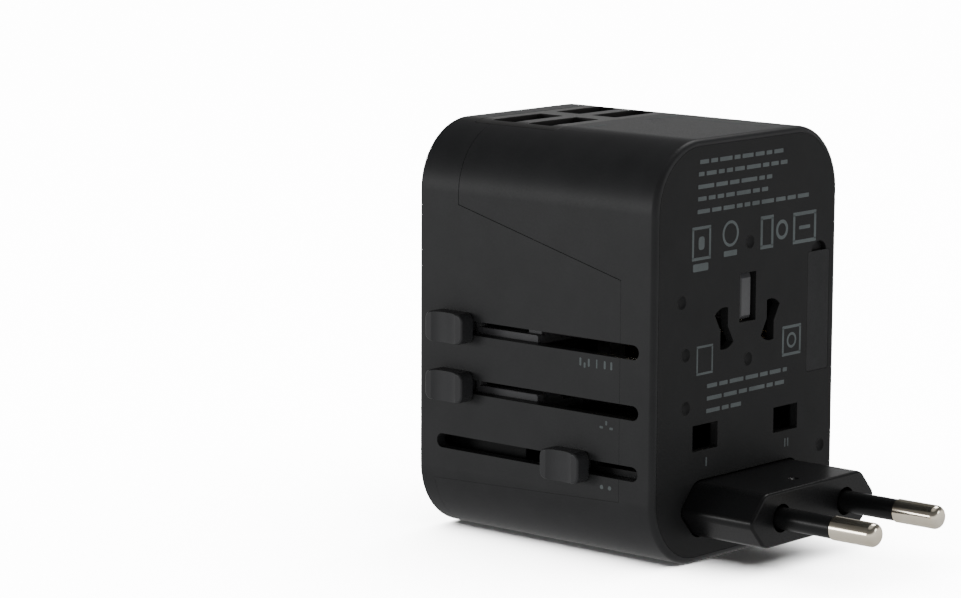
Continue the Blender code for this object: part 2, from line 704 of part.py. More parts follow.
def build_uk_plug():
    slide = joint_empty("uk_slide_axis", (0.0, PIN_FACE, UK_PIN_Z))
    build_knob("uk_knob", KNOB_HOME_Y, UK_Z, slide)
    bar_y = (2.0 * MM, 5.0 * MM)
    bar_end = UK_PIN_HALF_PITCH + UK_PIN[0] / 2 + 0.3 * MM
    carrier = box(
        "uk_carrier", (-bar_end - 4.4 * MM, bar_end), bar_y, (18.9 * MM, 24.4 * MM), carrier_grey, slide
    )
    stem = box(
        "uk_stem", (-EARTH_PIN[0] / 2, EARTH_PIN[0] / 2), bar_y, (23.0 * MM, EARTH_Z + EARTH_PIN[1] / 2),
        parent=slide,
    )
    earth = box(
        "uk_earth_pin", (-EARTH_PIN[0] / 2, EARTH_PIN[0] / 2), (PIN_FACE + UK_REST, sum(bar_y) / 2),
        (EARTH_Z - EARTH_PIN[1] / 2, EARTH_Z + EARTH_PIN[1] / 2), parent=slide,
    )
    chamfer_end(earth, 1, -1, 0.8 * MM)
    web = box(
        "uk_web", (ARM_X[1] - 0.4 * MM, -14.6 * MM), bar_y, (21.0 * MM, UK_Z - ARM_DROP[1]),
        parent=slide,
    )
    arm, pad, hole = arm_tools("uk", KNOB_HOME_Y, UK_Z, ARM_FRONT_Y, slide)
    join(carrier, stem, earth, web, arm, pad)
    cut(carrier, hole)

    tip = PIN_FACE + UK_REST + EARTH_LEAD
    shoulder = tip + UK_TIP_LENGTH
    for side, label in ((-1, "neutral"), (1, "live")):
        x = side * UK_PIN_HALF_PITCH
        half = [(x - size / 2, x + size / 2) for size in (UK_PIN[0], UK_CORE[0])]
        flat = [(UK_PIN_Z - size / 2, UK_PIN_Z + size / 2) for size in (UK_PIN[1], UK_CORE[1])]
        pin = box(f"uk_pin_{label}", half[0], (tip, shoulder), flat[0], nickel, slide)
        chamfer_end(pin, 1, -1, 0.9 * MM)
        core = box(
            f"uk_pin_core_{label}", half[1], (shoulder - 0.5 * MM, bar_y[1] + 0.6 * MM), flat[1],
            parent=slide,
        )
        head = block(
            f"uk_pin_head_{label}", (x, bar_y[1] + 0.65 * MM, UK_PIN_Z),
            (UK_PIN[0], 0.7 * MM, UK_PIN[1] - 0.2 * MM), parent=slide,
        )
        join(pin, core, head)
        sleeve_bore = block(
            f"uk_sleeve_bore_{label}", (x, 0.0, UK_PIN_Z),
            (UK_CORE[0] + 2 * FIT, DEPTH, UK_CORE[1] + 2 * FIT), parent=slide,
        )
        cover = box(
            f"uk_pin_sleeve_{label}", half[0], (shoulder + FIT, bar_y[0] - FIT), flat[0],
            black_plastic, slide,
        )
        cut(cover, sleeve_bore)
        cut(carrier, sleeve_bore)


def build_us_plug():
    """Two blades on one carrier; each turns on its own shaft for the slanted pattern."""
    slide = joint_empty("us_slide_axis", (0.0, PIN_FACE, US_BLADE_Z))
    build_knob("us_knob", KNOB_HOME_Y, US_Z, slide)
    tip = PIN_FACE + US_REST
    disc_y = (-0.9 * MM, 0.5 * MM)
    holder_y = (disc_y[1] + FIT, 4.1 * MM)
    head_y = (holder_y[1] + FIT, holder_y[1] + FIT + 1.0 * MM)
    shaft_radius = 1.5 * MM
    holder_inner = US_BLADE_HALF_PITCH - 3.35 * MM
    holder_outer = US_BLADE_HALF_PITCH + 4.05 * MM
    arch_z = (EARTH_Z + EARTH_PIN[1] / 2 + 0.55 * MM, DECK_Z - 0.5 * MM)
    carrier = box("us_carrier", (-holder_outer, holder_outer), holder_y, arch_z, carrier_grey, slide)
    tools = [
        box(
            "us_web", (ARM_X[1] - 0.4 * MM, -holder_outer + 0.5 * MM), (1.3 * MM, holder_y[1]),
            (US_Z - 1.8 * MM, US_Z + 0.4 * MM), parent=slide,
        ),
        box(
            "us_ear", (holder_outer - 0.5 * MM, holder_outer + 4.2 * MM), holder_y,
            (US_Z - 1.2 * MM, US_Z + 1.2 * MM), parent=slide,
        ),
    ]
    for side, label in ((-1, "left"), (1, "right")):
        limits = sorted((side * holder_inner, side * holder_outer))
        holder_z = (US_BLADE_Z - 4.4 * MM, US_BLADE_Z + 4.4 * MM)
        leg_limits = sorted((side * (holder_inner + 3.4 * MM), side * holder_outer))
        tools.append(box(f"us_holder_{label}", limits, holder_y, holder_z, parent=slide))
        leg_z = (holder_z[1] - 0.5 * MM, arch_z[1] - 0.3 * MM)
        tools.append(box(f"us_leg_{label}", leg_limits, holder_y, leg_z, parent=slide))
    arm, pad, hole = arm_tools("us", KNOB_HOME_Y, US_Z, ARM_FRONT_Y, slide)
    join(carrier, *tools, arm, pad)
    cut(carrier, hole)

    for side, label in ((-1, "left"), (1, "right")):
        x = side * US_BLADE_HALF_PITCH
        turn = joint_empty(f"us_blade_{label}_axis", (x, 0.0, US_BLADE_Z), slide)
        thick, tall = (size / 2 for size in US_BLADE)
        blade = box(
            f"us_blade_{label}", (x - thick, x + thick), (tip, disc_y[0] + 0.4 * MM),
            (US_BLADE_Z - tall, US_BLADE_Z + tall), nickel, turn,
        )
        chamfer_end(blade, 1, -1, 0.4 * MM)
        spans = (
            ("disc", disc_y, US_DISC_RADIUS),
            ("shaft", (disc_y[1] - 0.5 * MM, head_y[0] + 0.5 * MM), shaft_radius),
            ("head", head_y, shaft_radius + 0.8 * MM),
        )
        pieces = [
            cylinder(
                f"us_{kind}_{label}", (x, sum(span) / 2, US_BLADE_Z), radius, span[1] - span[0], "Y",
                parent=turn,
            )
            for kind, span, radius in spans
        ]
        join(blade, *pieces)
        cut(
            carrier,
            cylinder(
                f"us_shaft_hole_{label}", (x, sum(holder_y) / 2, US_BLADE_Z), shaft_radius + FIT,
                4 * (holder_y[1] - holder_y[0]), "Y", parent=slide,
            ),
        )


# Release, fuse and shutter ---------------------------------------------------------------------


def build_release():
    press = joint_empty("button_press_axis", (SIDE_X, sum(BUTTON_Y) / 2, sum(BUTTON_Z) / 2))
    cap_y = (BUTTON_Y[0] + BUTTON_GAP, BUTTON_Y[1] - BUTTON_GAP)
    cap_z = (BUTTON_Z[0] + BUTTON_GAP, BUTTON_Z[1] - BUTTON_GAP)
    flange_x = (INNER_X - 1.8 * MM, INNER_X - FIT)
    overlap = 0.8 * MM
    cap = box(
        "release_button", (flange_x[1] - 0.5 * MM, SIDE_X + BUTTON_RISE), cap_y, cap_z, black_plastic,
        press, around="X", radius=BUTTON_RADIUS - BUTTON_GAP, segments=5,
    )
    chamfer_end(cap, 0, 1, 0.4 * MM, 2)
    flange = box(
        "button_flange", flange_x, (BUTTON_Y[0] - overlap, BUTTON_Y[1] + overlap),
        (BUTTON_Z[0] - overlap, BUTTON_Z[1] + overlap), parent=press, around="X", radius=3.0 * MM,
    )
    join(cap, flange)

    bar_x = (17.0 * MM, 18.5 * MM)
    bar = box("latch_bar", bar_x, (-2.0 * MM, 10.0 * MM), (15.6 * MM, 41.0 * MM), carrier_grey, press)
    window = box(
        "latch_window", (bar_x[0] - 1.0 * MM, bar_x[1] + 1.0 * MM), (0.9 * MM, 7.1 * MM),
        (UK_Z, 42.0 * MM), parent=press,
    )
    cut(bar, window)
    posts = ((4.0 * MM, 21.0 * MM), (-0.55 * MM, 38.8 * MM), (8.55 * MM, 38.8 * MM))
    for index, (y, z) in enumerate(posts):
        span = (bar_x[1] - 0.3 * MM, flange_x[0] - FIT)
        join(
            bar,
            cylinder(
                f"latch_post_{index}", (sum(span) / 2, y, z), 1.2 * MM, span[1] - span[0], "X",
                parent=press, sides=16,
            ),
        )
    for label, z in (("us", US_Z), ("uk", UK_Z - 4.0 * MM)):
        tooth = block(
            f"latch_tooth_{label}", (16.8 * MM, -0.7 * MM, z), (0.9 * MM, 2.2 * MM, 2.0 * MM), parent=press
        )
        join(bar, tooth)
    start = (16.2 * MM, 4.0 * MM, 33.0 * MM)
    coil("button_spring", start, "X", flange_x[0] - FIT - start[0], 1.9 * MM, 0.25 * MM, 4, steel, None)


def build_fuse_drawer():
    pull = joint_empty("fuse_drawer_axis", (sum(DOOR_X) / 2, PIN_FACE, sum(DOOR_Z) / 2))
    axis = (sum(DOOR_X) / 2, PIN_FACE + FUSE_DEPTH)
    door = box(
        "fuse_door", DOOR_X, (PIN_FACE, PIN_PLATE_BACK), DOOR_Z, door_plastic, pull,
        around="Y", radius=0.4 * MM, segments=2,
    )
    seat = cylinder(
        "fuse_seat", (*axis, sum(DOOR_Z) / 2), FUSE_RADIUS + FIT, FUSE_LENGTH * 1.5, "Z", parent=pull,
        sides=32,
    )
    for label, z in (("low", 33.0 * MM), ("high", 44.5 * MM)):
        saddle = box(
            f"fuse_saddle_{label}", (DOOR_X[0] + 0.4 * MM, DOOR_X[1] - 0.4 * MM),
            (PIN_PLATE_BACK - 0.3 * MM, axis[1]), (z - 0.8 * MM, z + 0.8 * MM), parent=pull,
        )
        join(door, cut(saddle, seat))
    bottom = sum(DOOR_Z) / 2 - FUSE_LENGTH / 2
    top = bottom + FUSE_LENGTH
    tube_length = FUSE_LENGTH - 2 * FUSE_CAP_LENGTH - 2 * FIT
    middle = (*axis, sum(DOOR_Z) / 2)
    cylinder("fuse_tube", middle, FUSE_RADIUS - 0.15 * MM, tube_length, "Z", ceramic, pull)
    for label, z in (("low", bottom + FUSE_CAP_LENGTH / 2), ("high", top - FUSE_CAP_LENGTH / 2)):
        cylinder(f"fuse_cap_{label}", (*axis, z), FUSE_RADIUS, FUSE_CAP_LENGTH, "Z", steel, pull)
    leaf_y = axis[1] + FUSE_RADIUS + 0.4 * MM
    leaf = 0.6 * MM
    near = axis[0] - 1.65 * MM
    far = axis[0] + 1.75 * MM
    outline = [
        (near, leaf_y),
        (far, leaf_y),
        (far, leaf_y + 6.0 * MM),
        (far - leaf, leaf_y + 6.0 * MM),
        (far - leaf, leaf_y + leaf),
        (near, leaf_y + leaf),
    ]
    inset = 0.3 * MM
    for label, low, high in (
        ("low", bottom + inset, bottom + FUSE_CAP_LENGTH - inset),
        ("high", top - FUSE_CAP_LENGTH + inset, top - inset),
    ):
        outline_solid(f"fuse_contact_{label}", outline, (low, high), "XY", brass)


def build_shutter():
    lift = joint_empty("shutter_axis", (SOCKET_X, 19.4 * MM, SOCKET_PIN_Z))
    cover = 3.4 * MM
    box(
        "socket_shutter", (SOCKET_X - 15.6 * MM, SOCKET_X + 15.6 * MM), (18.6 * MM, 20.2 * MM),
        (SOCKET_PIN_Z - cover, SOCKET_PIN_Z + cover), carrier_grey, lift,
    )
    start = SOCKET_PIN_Z + cover + FIT
    coil(
        "shutter_spring", (SOCKET_X, 19.4 * MM, start), "Z", DECK_Z - FIT - start, 1.3 * MM, 0.2 * MM, 7,
        steel, None,
    )


# Inside ----------------------------------------------------------------------------------------


def channel(half):
    """A contact's section, open towards the socket face: depth along Y and distance from its middle."""
    leaf = 0.5 * MM
    back = 7.6 * MM
    mouth = 18.2 * MM
    return [
        (back, -half),
        (mouth, -half),
        (mouth, -half + leaf),
        (back + leaf, -half + leaf),
        (back + leaf, half - leaf),
        (mouth, half - leaf),
        (mouth, half),
        (back, half),
    ]


def build_chassis():
    """The deck over the plugs, the walls round the contacts and the seat of the button spring."""
    deck_gap = 0.6 * MM
    plate_gap = 0.95 * MM
    deck = box(
        "chassis", (-INNER_X + deck_gap, INNER_X - deck_gap),
        (PIN_PLATE_BACK + plate_gap, SOCKET_PLATE_BACK - plate_gap), (DECK_Z, DECK_Z + DECK_THICKNESS),
        grey_plastic,
    )
    into_deck = DECK_Z + 0.5 * MM
    wall = box("contact_wall", (-18.4 * MM, 14.4 * MM), (6.3 * MM, 7.3 * MM), (17.5 * MM, into_deck))
    screen = box(
        "slider_screen", (-19.2 * MM, -18.2 * MM), (6.3 * MM, SOCKET_PLATE_BACK - plate_gap),
        (7.2 * MM, into_deck),
    )
    seat = box("spring_seat", (14.9 * MM, 15.9 * MM), (1.5 * MM, 6.5 * MM), (29.0 * MM, into_deck))
    well_half = EARTH_HOLE[0] / 2 + 0.25 * MM
    well_wall = 0.6 * MM
    well = box(
        "earth_well", (SOCKET_X - well_half - well_wall, SOCKET_X + well_half + well_wall),
        (6.5 * MM, SOCKET_PLATE_BACK - FIT), (7.2 * MM, 18.2 * MM),
    )
    well_inside = box(
        "earth_well_inside", (SOCKET_X - well_half, SOCKET_X + well_half), (5.5 * MM, SOCKET_FACE),
        (6.0 * MM, 17.2 * MM),
    )
    join(deck, wall, screen, seat, cut(well, well_inside))
    for x in (-17.0 * MM, 17.0 * MM):
        for y in (-19.0 * MM, 21.0 * MM):
            post = box(
                f"board_post_{len(deck.modifiers)}", (x - 2.4 * MM, x + 2.4 * MM),
                (y - 2.0 * MM, y + 2.0 * MM), (into_deck, BOARD_Z - FIT),
            )
            join(deck, post)

    board = box(
        "usb_board", (-20.0 * MM, 20.0 * MM), (-22.2 * MM, 23.0 * MM), (BOARD_Z, BOARD_TOP), board_green
    )
    shank = 1.0 * MM
    for side, label in ((-1, "left"), (1, "right")):
        at = (side * 17.0 * MM, -19.0 * MM)
        hole = cylinder(f"screw_hole_{label}", (*at, BOARD_Z), shank + FIT, 12.0 * MM, "Z", sides=16)
        cut(deck, hole)
        cut(board, hole)
        profile = [
            (0.0, BOARD_TOP + 1.7 * MM),
            (1.4 * MM, BOARD_TOP + 1.5 * MM),
            (1.9 * MM, BOARD_TOP + FIT),
            (shank, BOARD_TOP + FIT),
            (shank, DECK_Z + 0.3 * MM),
            (0.0, DECK_Z),
        ]
        turned(f"board_screw_{label}", profile, (*at, 0.0), steel, None, steps=16)

    for label, x in (("live", SOCKET_X - 10.85 * MM), ("neutral", SOCKET_X + 10.85 * MM)):
        jaw = [(y, z + SOCKET_PIN_Z) for y, z in channel(2.8 * MM)]
        outline_solid(f"{label}_contact", jaw, (x - 3.4 * MM, x + 3.4 * MM), "YZ", brass)
        block(f"{label}_rail", (x, -5.85 * MM, 30.3 * MM), (0.6 * MM, 26.3 * MM, 2.6 * MM), brass)
        gap = block(
            f"{label}_rail_gap", (x, 6.8 * MM, 30.3 * MM),
            (0.6 * MM + 2 * FIT, 3.0 * MM, 2.6 * MM + 2 * FIT),
        )
        cut(deck, gap)
    width, offset, low = BLADE_SLOT
    for side, label in ((-1, "live"), (1, "neutral")):
        jaw = [(x + SOCKET_X + side * offset, y) for y, x in reversed(channel(width / 2 + 0.8 * MM))]
        outline_solid(f"{label}_blade_contact", jaw, (low + 0.4 * MM, low + 6.0 * MM), "XY", brass)


def build_usb():
    lip = PLATE_GAP
    under = HEIGHT - BEZEL_THICKNESS
    bezel = box(
        "usb_bezel", (-WINDOW_X + lip, WINDOW_X - lip), (WINDOW_Y[0] + lip, WINDOW_Y[1] - lip),
        (under, HEIGHT), grey_plastic, around="Z", radius=0.6 * MM,
    )
    flange = box(
        "bezel_flange", (-12.0 * MM, 12.0 * MM), (WINDOW_Y[0] - 1.1 * MM, WINDOW_Y[1] + 1.1 * MM),
        (under - BEZEL_FLANGE, under + 0.3 * MM),
    )
    join(bezel, flange)
    shell_top = under - BEZEL_FLANGE - FIT
    shell_low = BOARD_TOP + FIT
    number = 0
    for row in PORT_ROWS:
        for side in (-1, 1):
            number += 1
            x = side * PORT_X
            cut(
                bezel,
                block(f"port_opening_{number}", (x, row, under), (*PORT_OPENING, 4 * BEZEL_THICKNESS)),
            )
            shell = block(
                f"usb_shell_{number}", (x, row, (shell_low + shell_top) / 2),
                (*PORT_SHELL, shell_top - shell_low), nickel, around="Z", radius=0.6 * MM, segments=2,
            )
            inner = [size - 2 * PORT_WALL for size in PORT_SHELL]
            bore = (*inner, 3 * (shell_top - shell_low))
            cut(shell, block(f"port_inside_{number}", (x, row, shell_top), bore))
            base = block(
                f"usb_tongue_{number}", (x, row, shell_low + 1.2 * MM),
                (inner[0] - 2 * FIT, inner[1] - 2 * FIT, 2.4 * MM), port_plastic,
            )
            tongue = box(
                f"tongue_blade_{number}", (x - 5.5 * MM, x + 5.5 * MM), (row + 0.1 * MM, row + 2.0 * MM),
                (shell_low + 2.0 * MM, shell_top - 1.0 * MM),
            )
            join(base, tongue)

    deck = BOARD_TOP + FIT
    core_x = (-15.0 * MM, -1.0 * MM)
    core = box("transformer", core_x, (-20.0 * MM, -8.0 * MM), (deck, deck + 3.0 * MM), dark_ferrite)
    column = box(
        "transformer_coil", (-13.6 * MM, -2.4 * MM), (-19.0 * MM, -9.0 * MM),
        (deck + 2.5 * MM, deck + 9.5 * MM),
    )
    cap = box("transformer_cap", core_x, (-17.0 * MM, -11.0 * MM), (deck + 9.0 * MM, deck + 11.6 * MM))
    join(core, column, cap)
    for number, (x, y, radius, height) in enumerate(
        ((14.0 * MM, -12.0 * MM, 4.0 * MM, 11.5 * MM), (5.0 * MM, -15.5 * MM, 3.15 * MM, 9.0 * MM)), 1
    ):
        cylinder(f"capacitor_{number}", (x, y, deck + height / 2), radius, height, "Z", can_blue)


clear_scene()
parts = add_collection("travel_adapter")
cutters = add_collection("cutters")

black_plastic = make_material("black_plastic", (0.018, 0.019, 0.021), 0.45)
grey_plastic = make_material("grey_plastic", (0.035, 0.036, 0.038), 0.55)
gloss_plastic = make_material("gloss_plastic", (0.01, 0.01, 0.011), 0.18)
door_plastic = make_material("door_plastic", (0.07, 0.071, 0.075), 0.7)
carrier_grey = make_material("carrier_grey", (0.08, 0.081, 0.085), 0.45)
port_plastic = make_material("port_plastic", (0.02, 0.02, 0.022), 0.5)
nickel = make_material("nickel", (0.7, 0.67, 0.6), 0.22, 1.0)
brass = make_material("brass", (0.72, 0.6, 0.38), 0.25, 1.0)
steel = make_material("steel", (0.6, 0.6, 0.62), 0.3, 1.0)
ceramic = make_material("ceramic", (0.8, 0.79, 0.76), 0.5)
board_green = make_material("board_green", (0.02, 0.16, 0.07), 0.4)
dark_ferrite = make_material("dark_ferrite", (0.06, 0.055, 0.05), 0.6)
can_blue = make_material("can_blue", (0.05, 0.06, 0.14), 0.35)

build_housing()
build_socket_plate()
build_pin_plate()
build_eu_plug()
build_uk_plug()
build_us_plug()
build_release()
build_fuse_drawer()
build_shutter()
build_chassis()
build_usb()
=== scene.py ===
import math
import random

import bmesh
import bpy
from mathutils import Matrix, Vector


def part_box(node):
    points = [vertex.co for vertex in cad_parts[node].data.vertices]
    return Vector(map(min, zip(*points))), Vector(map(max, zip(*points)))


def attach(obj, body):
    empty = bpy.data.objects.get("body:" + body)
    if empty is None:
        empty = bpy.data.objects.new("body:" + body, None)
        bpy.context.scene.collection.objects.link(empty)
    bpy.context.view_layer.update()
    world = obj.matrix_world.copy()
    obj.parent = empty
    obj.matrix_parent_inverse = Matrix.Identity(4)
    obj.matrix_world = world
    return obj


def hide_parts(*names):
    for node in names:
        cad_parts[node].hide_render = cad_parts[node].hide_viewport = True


mm = 0.001
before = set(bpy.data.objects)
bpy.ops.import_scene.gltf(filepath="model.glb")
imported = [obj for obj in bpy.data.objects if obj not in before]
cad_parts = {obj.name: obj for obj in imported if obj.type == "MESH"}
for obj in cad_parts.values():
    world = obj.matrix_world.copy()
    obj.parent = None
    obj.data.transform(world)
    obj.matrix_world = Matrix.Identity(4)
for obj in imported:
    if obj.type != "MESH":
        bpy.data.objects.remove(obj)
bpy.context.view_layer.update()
random.seed(7)

housing = {
    "width": 50.0 * mm,
    "depth": 51.7 * mm,
    "height": 71.0 * mm,
    "corner": 11.7 * mm,
    "wall": 2.0 * mm,
    "rim": 1.1 * mm,
    "rimRound": 1.0 * mm,
    "plate": 1.5 * mm,
    "plateGap": 0.05 * mm,
    "seam": 0.07 * mm,
    "tightSeam": 0.01 * mm,
    "edge": 0.03 * mm,
}
sideX = housing["width"] / 2
faceY = housing["depth"] / 2
topZ = housing["height"]
plateBack = faceY - housing["plate"]
innerX = sideX - housing["wall"]

# turns a drawing in (u, v) with thickness w into the plane it belongs to
planes = {
    "xy": Matrix.Identity(4),
    "xz": Matrix.Rotation(math.pi / 2, 4, "X"),
    "yz": Matrix(((0, 0, 1, 0), (1, 0, 0, 0), (0, 1, 0, 0), (0, 0, 0, 1))),
}


def newMaterial(name):
    material = bpy.data.materials.new(name)
    material.use_nodes = True
    nodes = material.node_tree.nodes
    return material, nodes, material.node_tree.links, nodes["Principled BSDF"]


def noiseNode(nodes, links, scale, detail=4.0, roughness=0.55):
    place = nodes.new("ShaderNodeTexCoord")
    noise = nodes.new("ShaderNodeTexNoise")
    noise.inputs["Scale"].default_value = scale
    noise.inputs["Detail"].default_value = detail
    noise.inputs["Roughness"].default_value = roughness
    links.new(place.outputs["Object"], noise.inputs["Vector"])
    return noise


def spread(nodes, links, source, low, high, fromLow=0.3, fromHigh=0.7):
    span = nodes.new("ShaderNodeMapRange")
    span.inputs["From Min"].default_value = fromLow
    span.inputs["From Max"].default_value = fromHigh
    span.inputs["To Min"].default_value = low
    span.inputs["To Max"].default_value = high
    links.new(source, span.inputs["Value"])
    return span.outputs["Result"]


def blendColors(nodes, links, factor, first, second):
    ramp = nodes.new("ShaderNodeValToRGB")
    ramp.color_ramp.elements[0].position = 0.3
    ramp.color_ramp.elements[1].position = 0.7
    ramp.color_ramp.elements[0].color = (*first, 1.0)
    ramp.color_ramp.elements[1].color = (*second, 1.0)
    links.new(factor, ramp.inputs["Fac"])
    return ramp.outputs["Color"]


def bumpFrom(nodes, links, shader, source, strength, distance):
    bump = nodes.new("ShaderNodeBump")
    bump.inputs["Strength"].default_value = strength
    bump.inputs["Distance"].default_value = distance
    links.new(source, bump.inputs["Height"])
    links.new(bump.outputs["Normal"], shader.inputs["Normal"])


def plastic(name, look):
    # moulded plastic: fine spark grain, slow mottling in colour and gloss
    material, nodes, links, shader = newMaterial(name)
    slow = noiseNode(nodes, links, look.get("mottle", 160.0), 3.0)
    fine = noiseNode(nodes, links, look.get("grain", 6500.0), 2.0, 0.6)
    color = look["color"]
    worn = [min(1.0, c * look.get("lift", 1.18)) for c in color]
    links.new(blendColors(nodes, links, slow.outputs["Fac"], color, worn), shader.inputs["Base Color"])
    low, high = look["roughness"]
    links.new(spread(nodes, links, fine.outputs["Fac"], low, high), shader.inputs["Roughness"])
    shader.inputs["Specular IOR Level"].default_value = look.get("specular", 0.5)
    shader.inputs["Coat Weight"].default_value = look.get("coat", 0.0)
    shader.inputs["Coat Roughness"].default_value = look.get("coatRoughness", 0.2)
    bumpFrom(nodes, links, shader, fine.outputs["Fac"], look.get("bump", 0.25), look.get("depth", 0.03 * mm))
    return material


def metal(name, look):
    # plated or drawn metal: streaks that run along the part, light tarnish
    material, nodes, links, shader = newMaterial(name)
    place = nodes.new("ShaderNodeTexCoord")
    stretch = nodes.new("ShaderNodeMapping")
    stretch.inputs["Scale"].default_value = look.get("stretch", (1.0, 1.0, 1.0))
    links.new(place.outputs["Object"], stretch.inputs["Vector"])
    streak = nodes.new("ShaderNodeTexNoise")
    streak.inputs["Scale"].default_value = look.get("scale", 900.0)
    streak.inputs["Detail"].default_value = 4.0
    links.new(stretch.outputs["Vector"], streak.inputs["Vector"])
    slow = noiseNode(nodes, links, 220.0, 3.0)
    tarnished = blendColors(nodes, links, slow.outputs["Fac"], look["color"], look["tarnish"])
    links.new(tarnished, shader.inputs["Base Color"])
    low, high = look["roughness"]
    links.new(spread(nodes, links, streak.outputs["Fac"], low, high), shader.inputs["Roughness"])
    shader.inputs["Metallic"].default_value = 1.0
    bumpFrom(nodes, links, shader, streak.outputs["Fac"], look.get("bump", 0.08), 0.01 * mm)
    return material


finishes = {
    "black_plastic": plastic("housingBlack", {
        "color": (0.0262, 0.0266, 0.0278), "roughness": (0.36, 0.48), "bump": 0.24, "specular": 0.17,
    }),
    "grey_plastic": plastic("plateCharcoal", {
        "color": (0.0185, 0.0187, 0.0192), "roughness": (0.45, 0.6), "bump": 0.3, "specular": 0.12,
    }),
    "gloss_plastic": plastic("knobBlack", {
        "color": (0.036, 0.0364, 0.0385), "roughness": (0.3, 0.4), "bump": 0.1,
        "grain": 4000.0, "specular": 0.2,
    }),
    "door_plastic": plastic("doorGrey", {
        "color": (0.034, 0.0345, 0.0357), "roughness": (0.6, 0.75), "bump": 0.4,
        "grain": 4200.0, "specular": 0.15,
    }),
    "carrier_grey": plastic("carrierGrey", {
        "color": (0.095, 0.096, 0.1), "roughness": (0.4, 0.55), "bump": 0.15, "specular": 0.25,
    }),
    "port_plastic": plastic("portBlack", {
        "color": (0.008, 0.008, 0.009), "roughness": (0.4, 0.55), "bump": 0.15, "specular": 0.2,
    }),
    "ceramic": plastic("fuseCeramic", {
        "color": (0.72, 0.7, 0.66), "roughness": (0.45, 0.65), "bump": 0.3, "grain": 3500.0, "lift": 1.06,
    }),
    "dark_ferrite": plastic("ferriteDark", {
        "color": (0.05, 0.045, 0.04), "roughness": (0.5, 0.7), "bump": 0.5, "grain": 2500.0,
    }),
    "can_blue": plastic("canSleeve", {
        "color": (0.02, 0.03, 0.09), "roughness": (0.25, 0.35), "bump": 0.1, "coat": 0.4,
    }),
    "board_green": plastic("boardMask", {
        "color": (0.008, 0.09, 0.035), "roughness": (0.25, 0.4), "bump": 0.35, "grain": 1400.0, "coat": 0.3,
    }),
    "nickel": metal("nickelPlate", {
        "color": (0.96, 0.89, 0.75), "tarnish": (0.88, 0.78, 0.61), "roughness": (0.1, 0.2),
        "stretch": (1.0, 0.12, 1.0),
    }),
    "brass": metal("contactBrass", {
        "color": (0.75, 0.58, 0.3), "tarnish": (0.6, 0.43, 0.2), "roughness": (0.2, 0.38),
    }),
    "steel": metal("springSteel", {
        "color": (0.62, 0.62, 0.63), "tarnish": (0.5, 0.49, 0.48), "roughness": (0.18, 0.32),
    }),
}
plugBlack = plastic("plugBlack", {
    "color": (0.011, 0.0111, 0.0116), "roughness": (0.26, 0.36), "bump": 0.1, "grain": 5000.0,
    "specular": 0.2,
})
bezelSatin = plastic("bezelSatin", {
    "color": (0.02, 0.0195, 0.019), "roughness": (0.3, 0.42), "bump": 0.12, "specular": 0.25,
})
goldPlate = metal("contactGold", {
    "color": (0.95, 0.68, 0.28), "tarnish": (0.85, 0.58, 0.22), "roughness": (0.14, 0.25),
})
printInk = plastic("printInk", {
    "color": (0.1, 0.115, 0.118), "roughness": (0.5, 0.65), "bump": 0.2, "grain": 5000.0, "lift": 1.3,
    "specular": 0.2,
})
print("materials ready")


def asPiece(name, bm, slot, body, stands=(), material=None):
    # a finished mesh at the origin, in its material, riding on a body
    mesh = bpy.data.meshes.new(name)
    bm.to_mesh(mesh)
    bm.free()
    return dress(bpy.data.objects.new(name, mesh), slot, body, stands, material)


def dress(piece, slot, body, stands=(), material=None):
    if piece.name not in bpy.context.scene.collection.objects:
        bpy.context.scene.collection.objects.link(piece)
    piece.data.materials.clear()
    piece.data.materials.append(material or finishes[slot])
    for polygon in piece.data.polygons:
        polygon.material_index = 0
    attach(piece, body)
    if stands:
        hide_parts(*stands)
    return piece


def cuboid(x, y, z, around=None, radius=0.0, segments=4):
    bm = bmesh.new()
    bmesh.ops.create_cube(bm, size=1.0)
    size = Vector((x[1] - x[0], y[1] - y[0], z[1] - z[0]))
    bmesh.ops.scale(bm, vec=size, verts=bm.verts)
    bmesh.ops.translate(bm, vec=((x[0] + x[1]) / 2, (y[0] + y[1]) / 2, (z[0] + z[1]) / 2), verts=bm.verts)
    if radius:
        axis = "xyz".index(around)
        along = [e for e in bm.edges if abs(e.verts[0].co[axis] - e.verts[1].co[axis]) > size[axis] / 2]
        bmesh.ops.bevel(
            bm, geom=along, offset=radius, segments=segments, profile=0.5, affect="EDGES", material=-1
        )
    return bm


def roundEnd(bm, axis, side, radius, segments=4):
    # rolls the edge round one end of a solid
    limit = max(side * v.co[axis] for v in bm.verts)
    rim = [e for e in bm.edges if all(side * v.co[axis] > limit - 1e-7 for v in e.verts)]
    bmesh.ops.bevel(bm, geom=rim, offset=radius, segments=segments, profile=0.5, affect="EDGES", material=-1)
    return bm


def rod(centre, radius, length, axis, sides=48):
    turns = {"x": Matrix.Rotation(math.pi / 2, 4, "Y"), "y": Matrix.Rotation(math.pi / 2, 4, "X")}
    bm = bmesh.new()
    bmesh.ops.create_cone(
        bm, cap_ends=True, segments=sides, radius1=radius, radius2=radius, depth=length,
        matrix=Matrix.Translation(centre) @ turns.get(axis, Matrix.Identity(4)),
    )
    return bm


def ball(centre, radius):
    bm = bmesh.new()
    place = Matrix.Translation(centre)
    bmesh.ops.create_uvsphere(bm, u_segments=48, v_segments=32, radius=radius, matrix=place)
    return bm


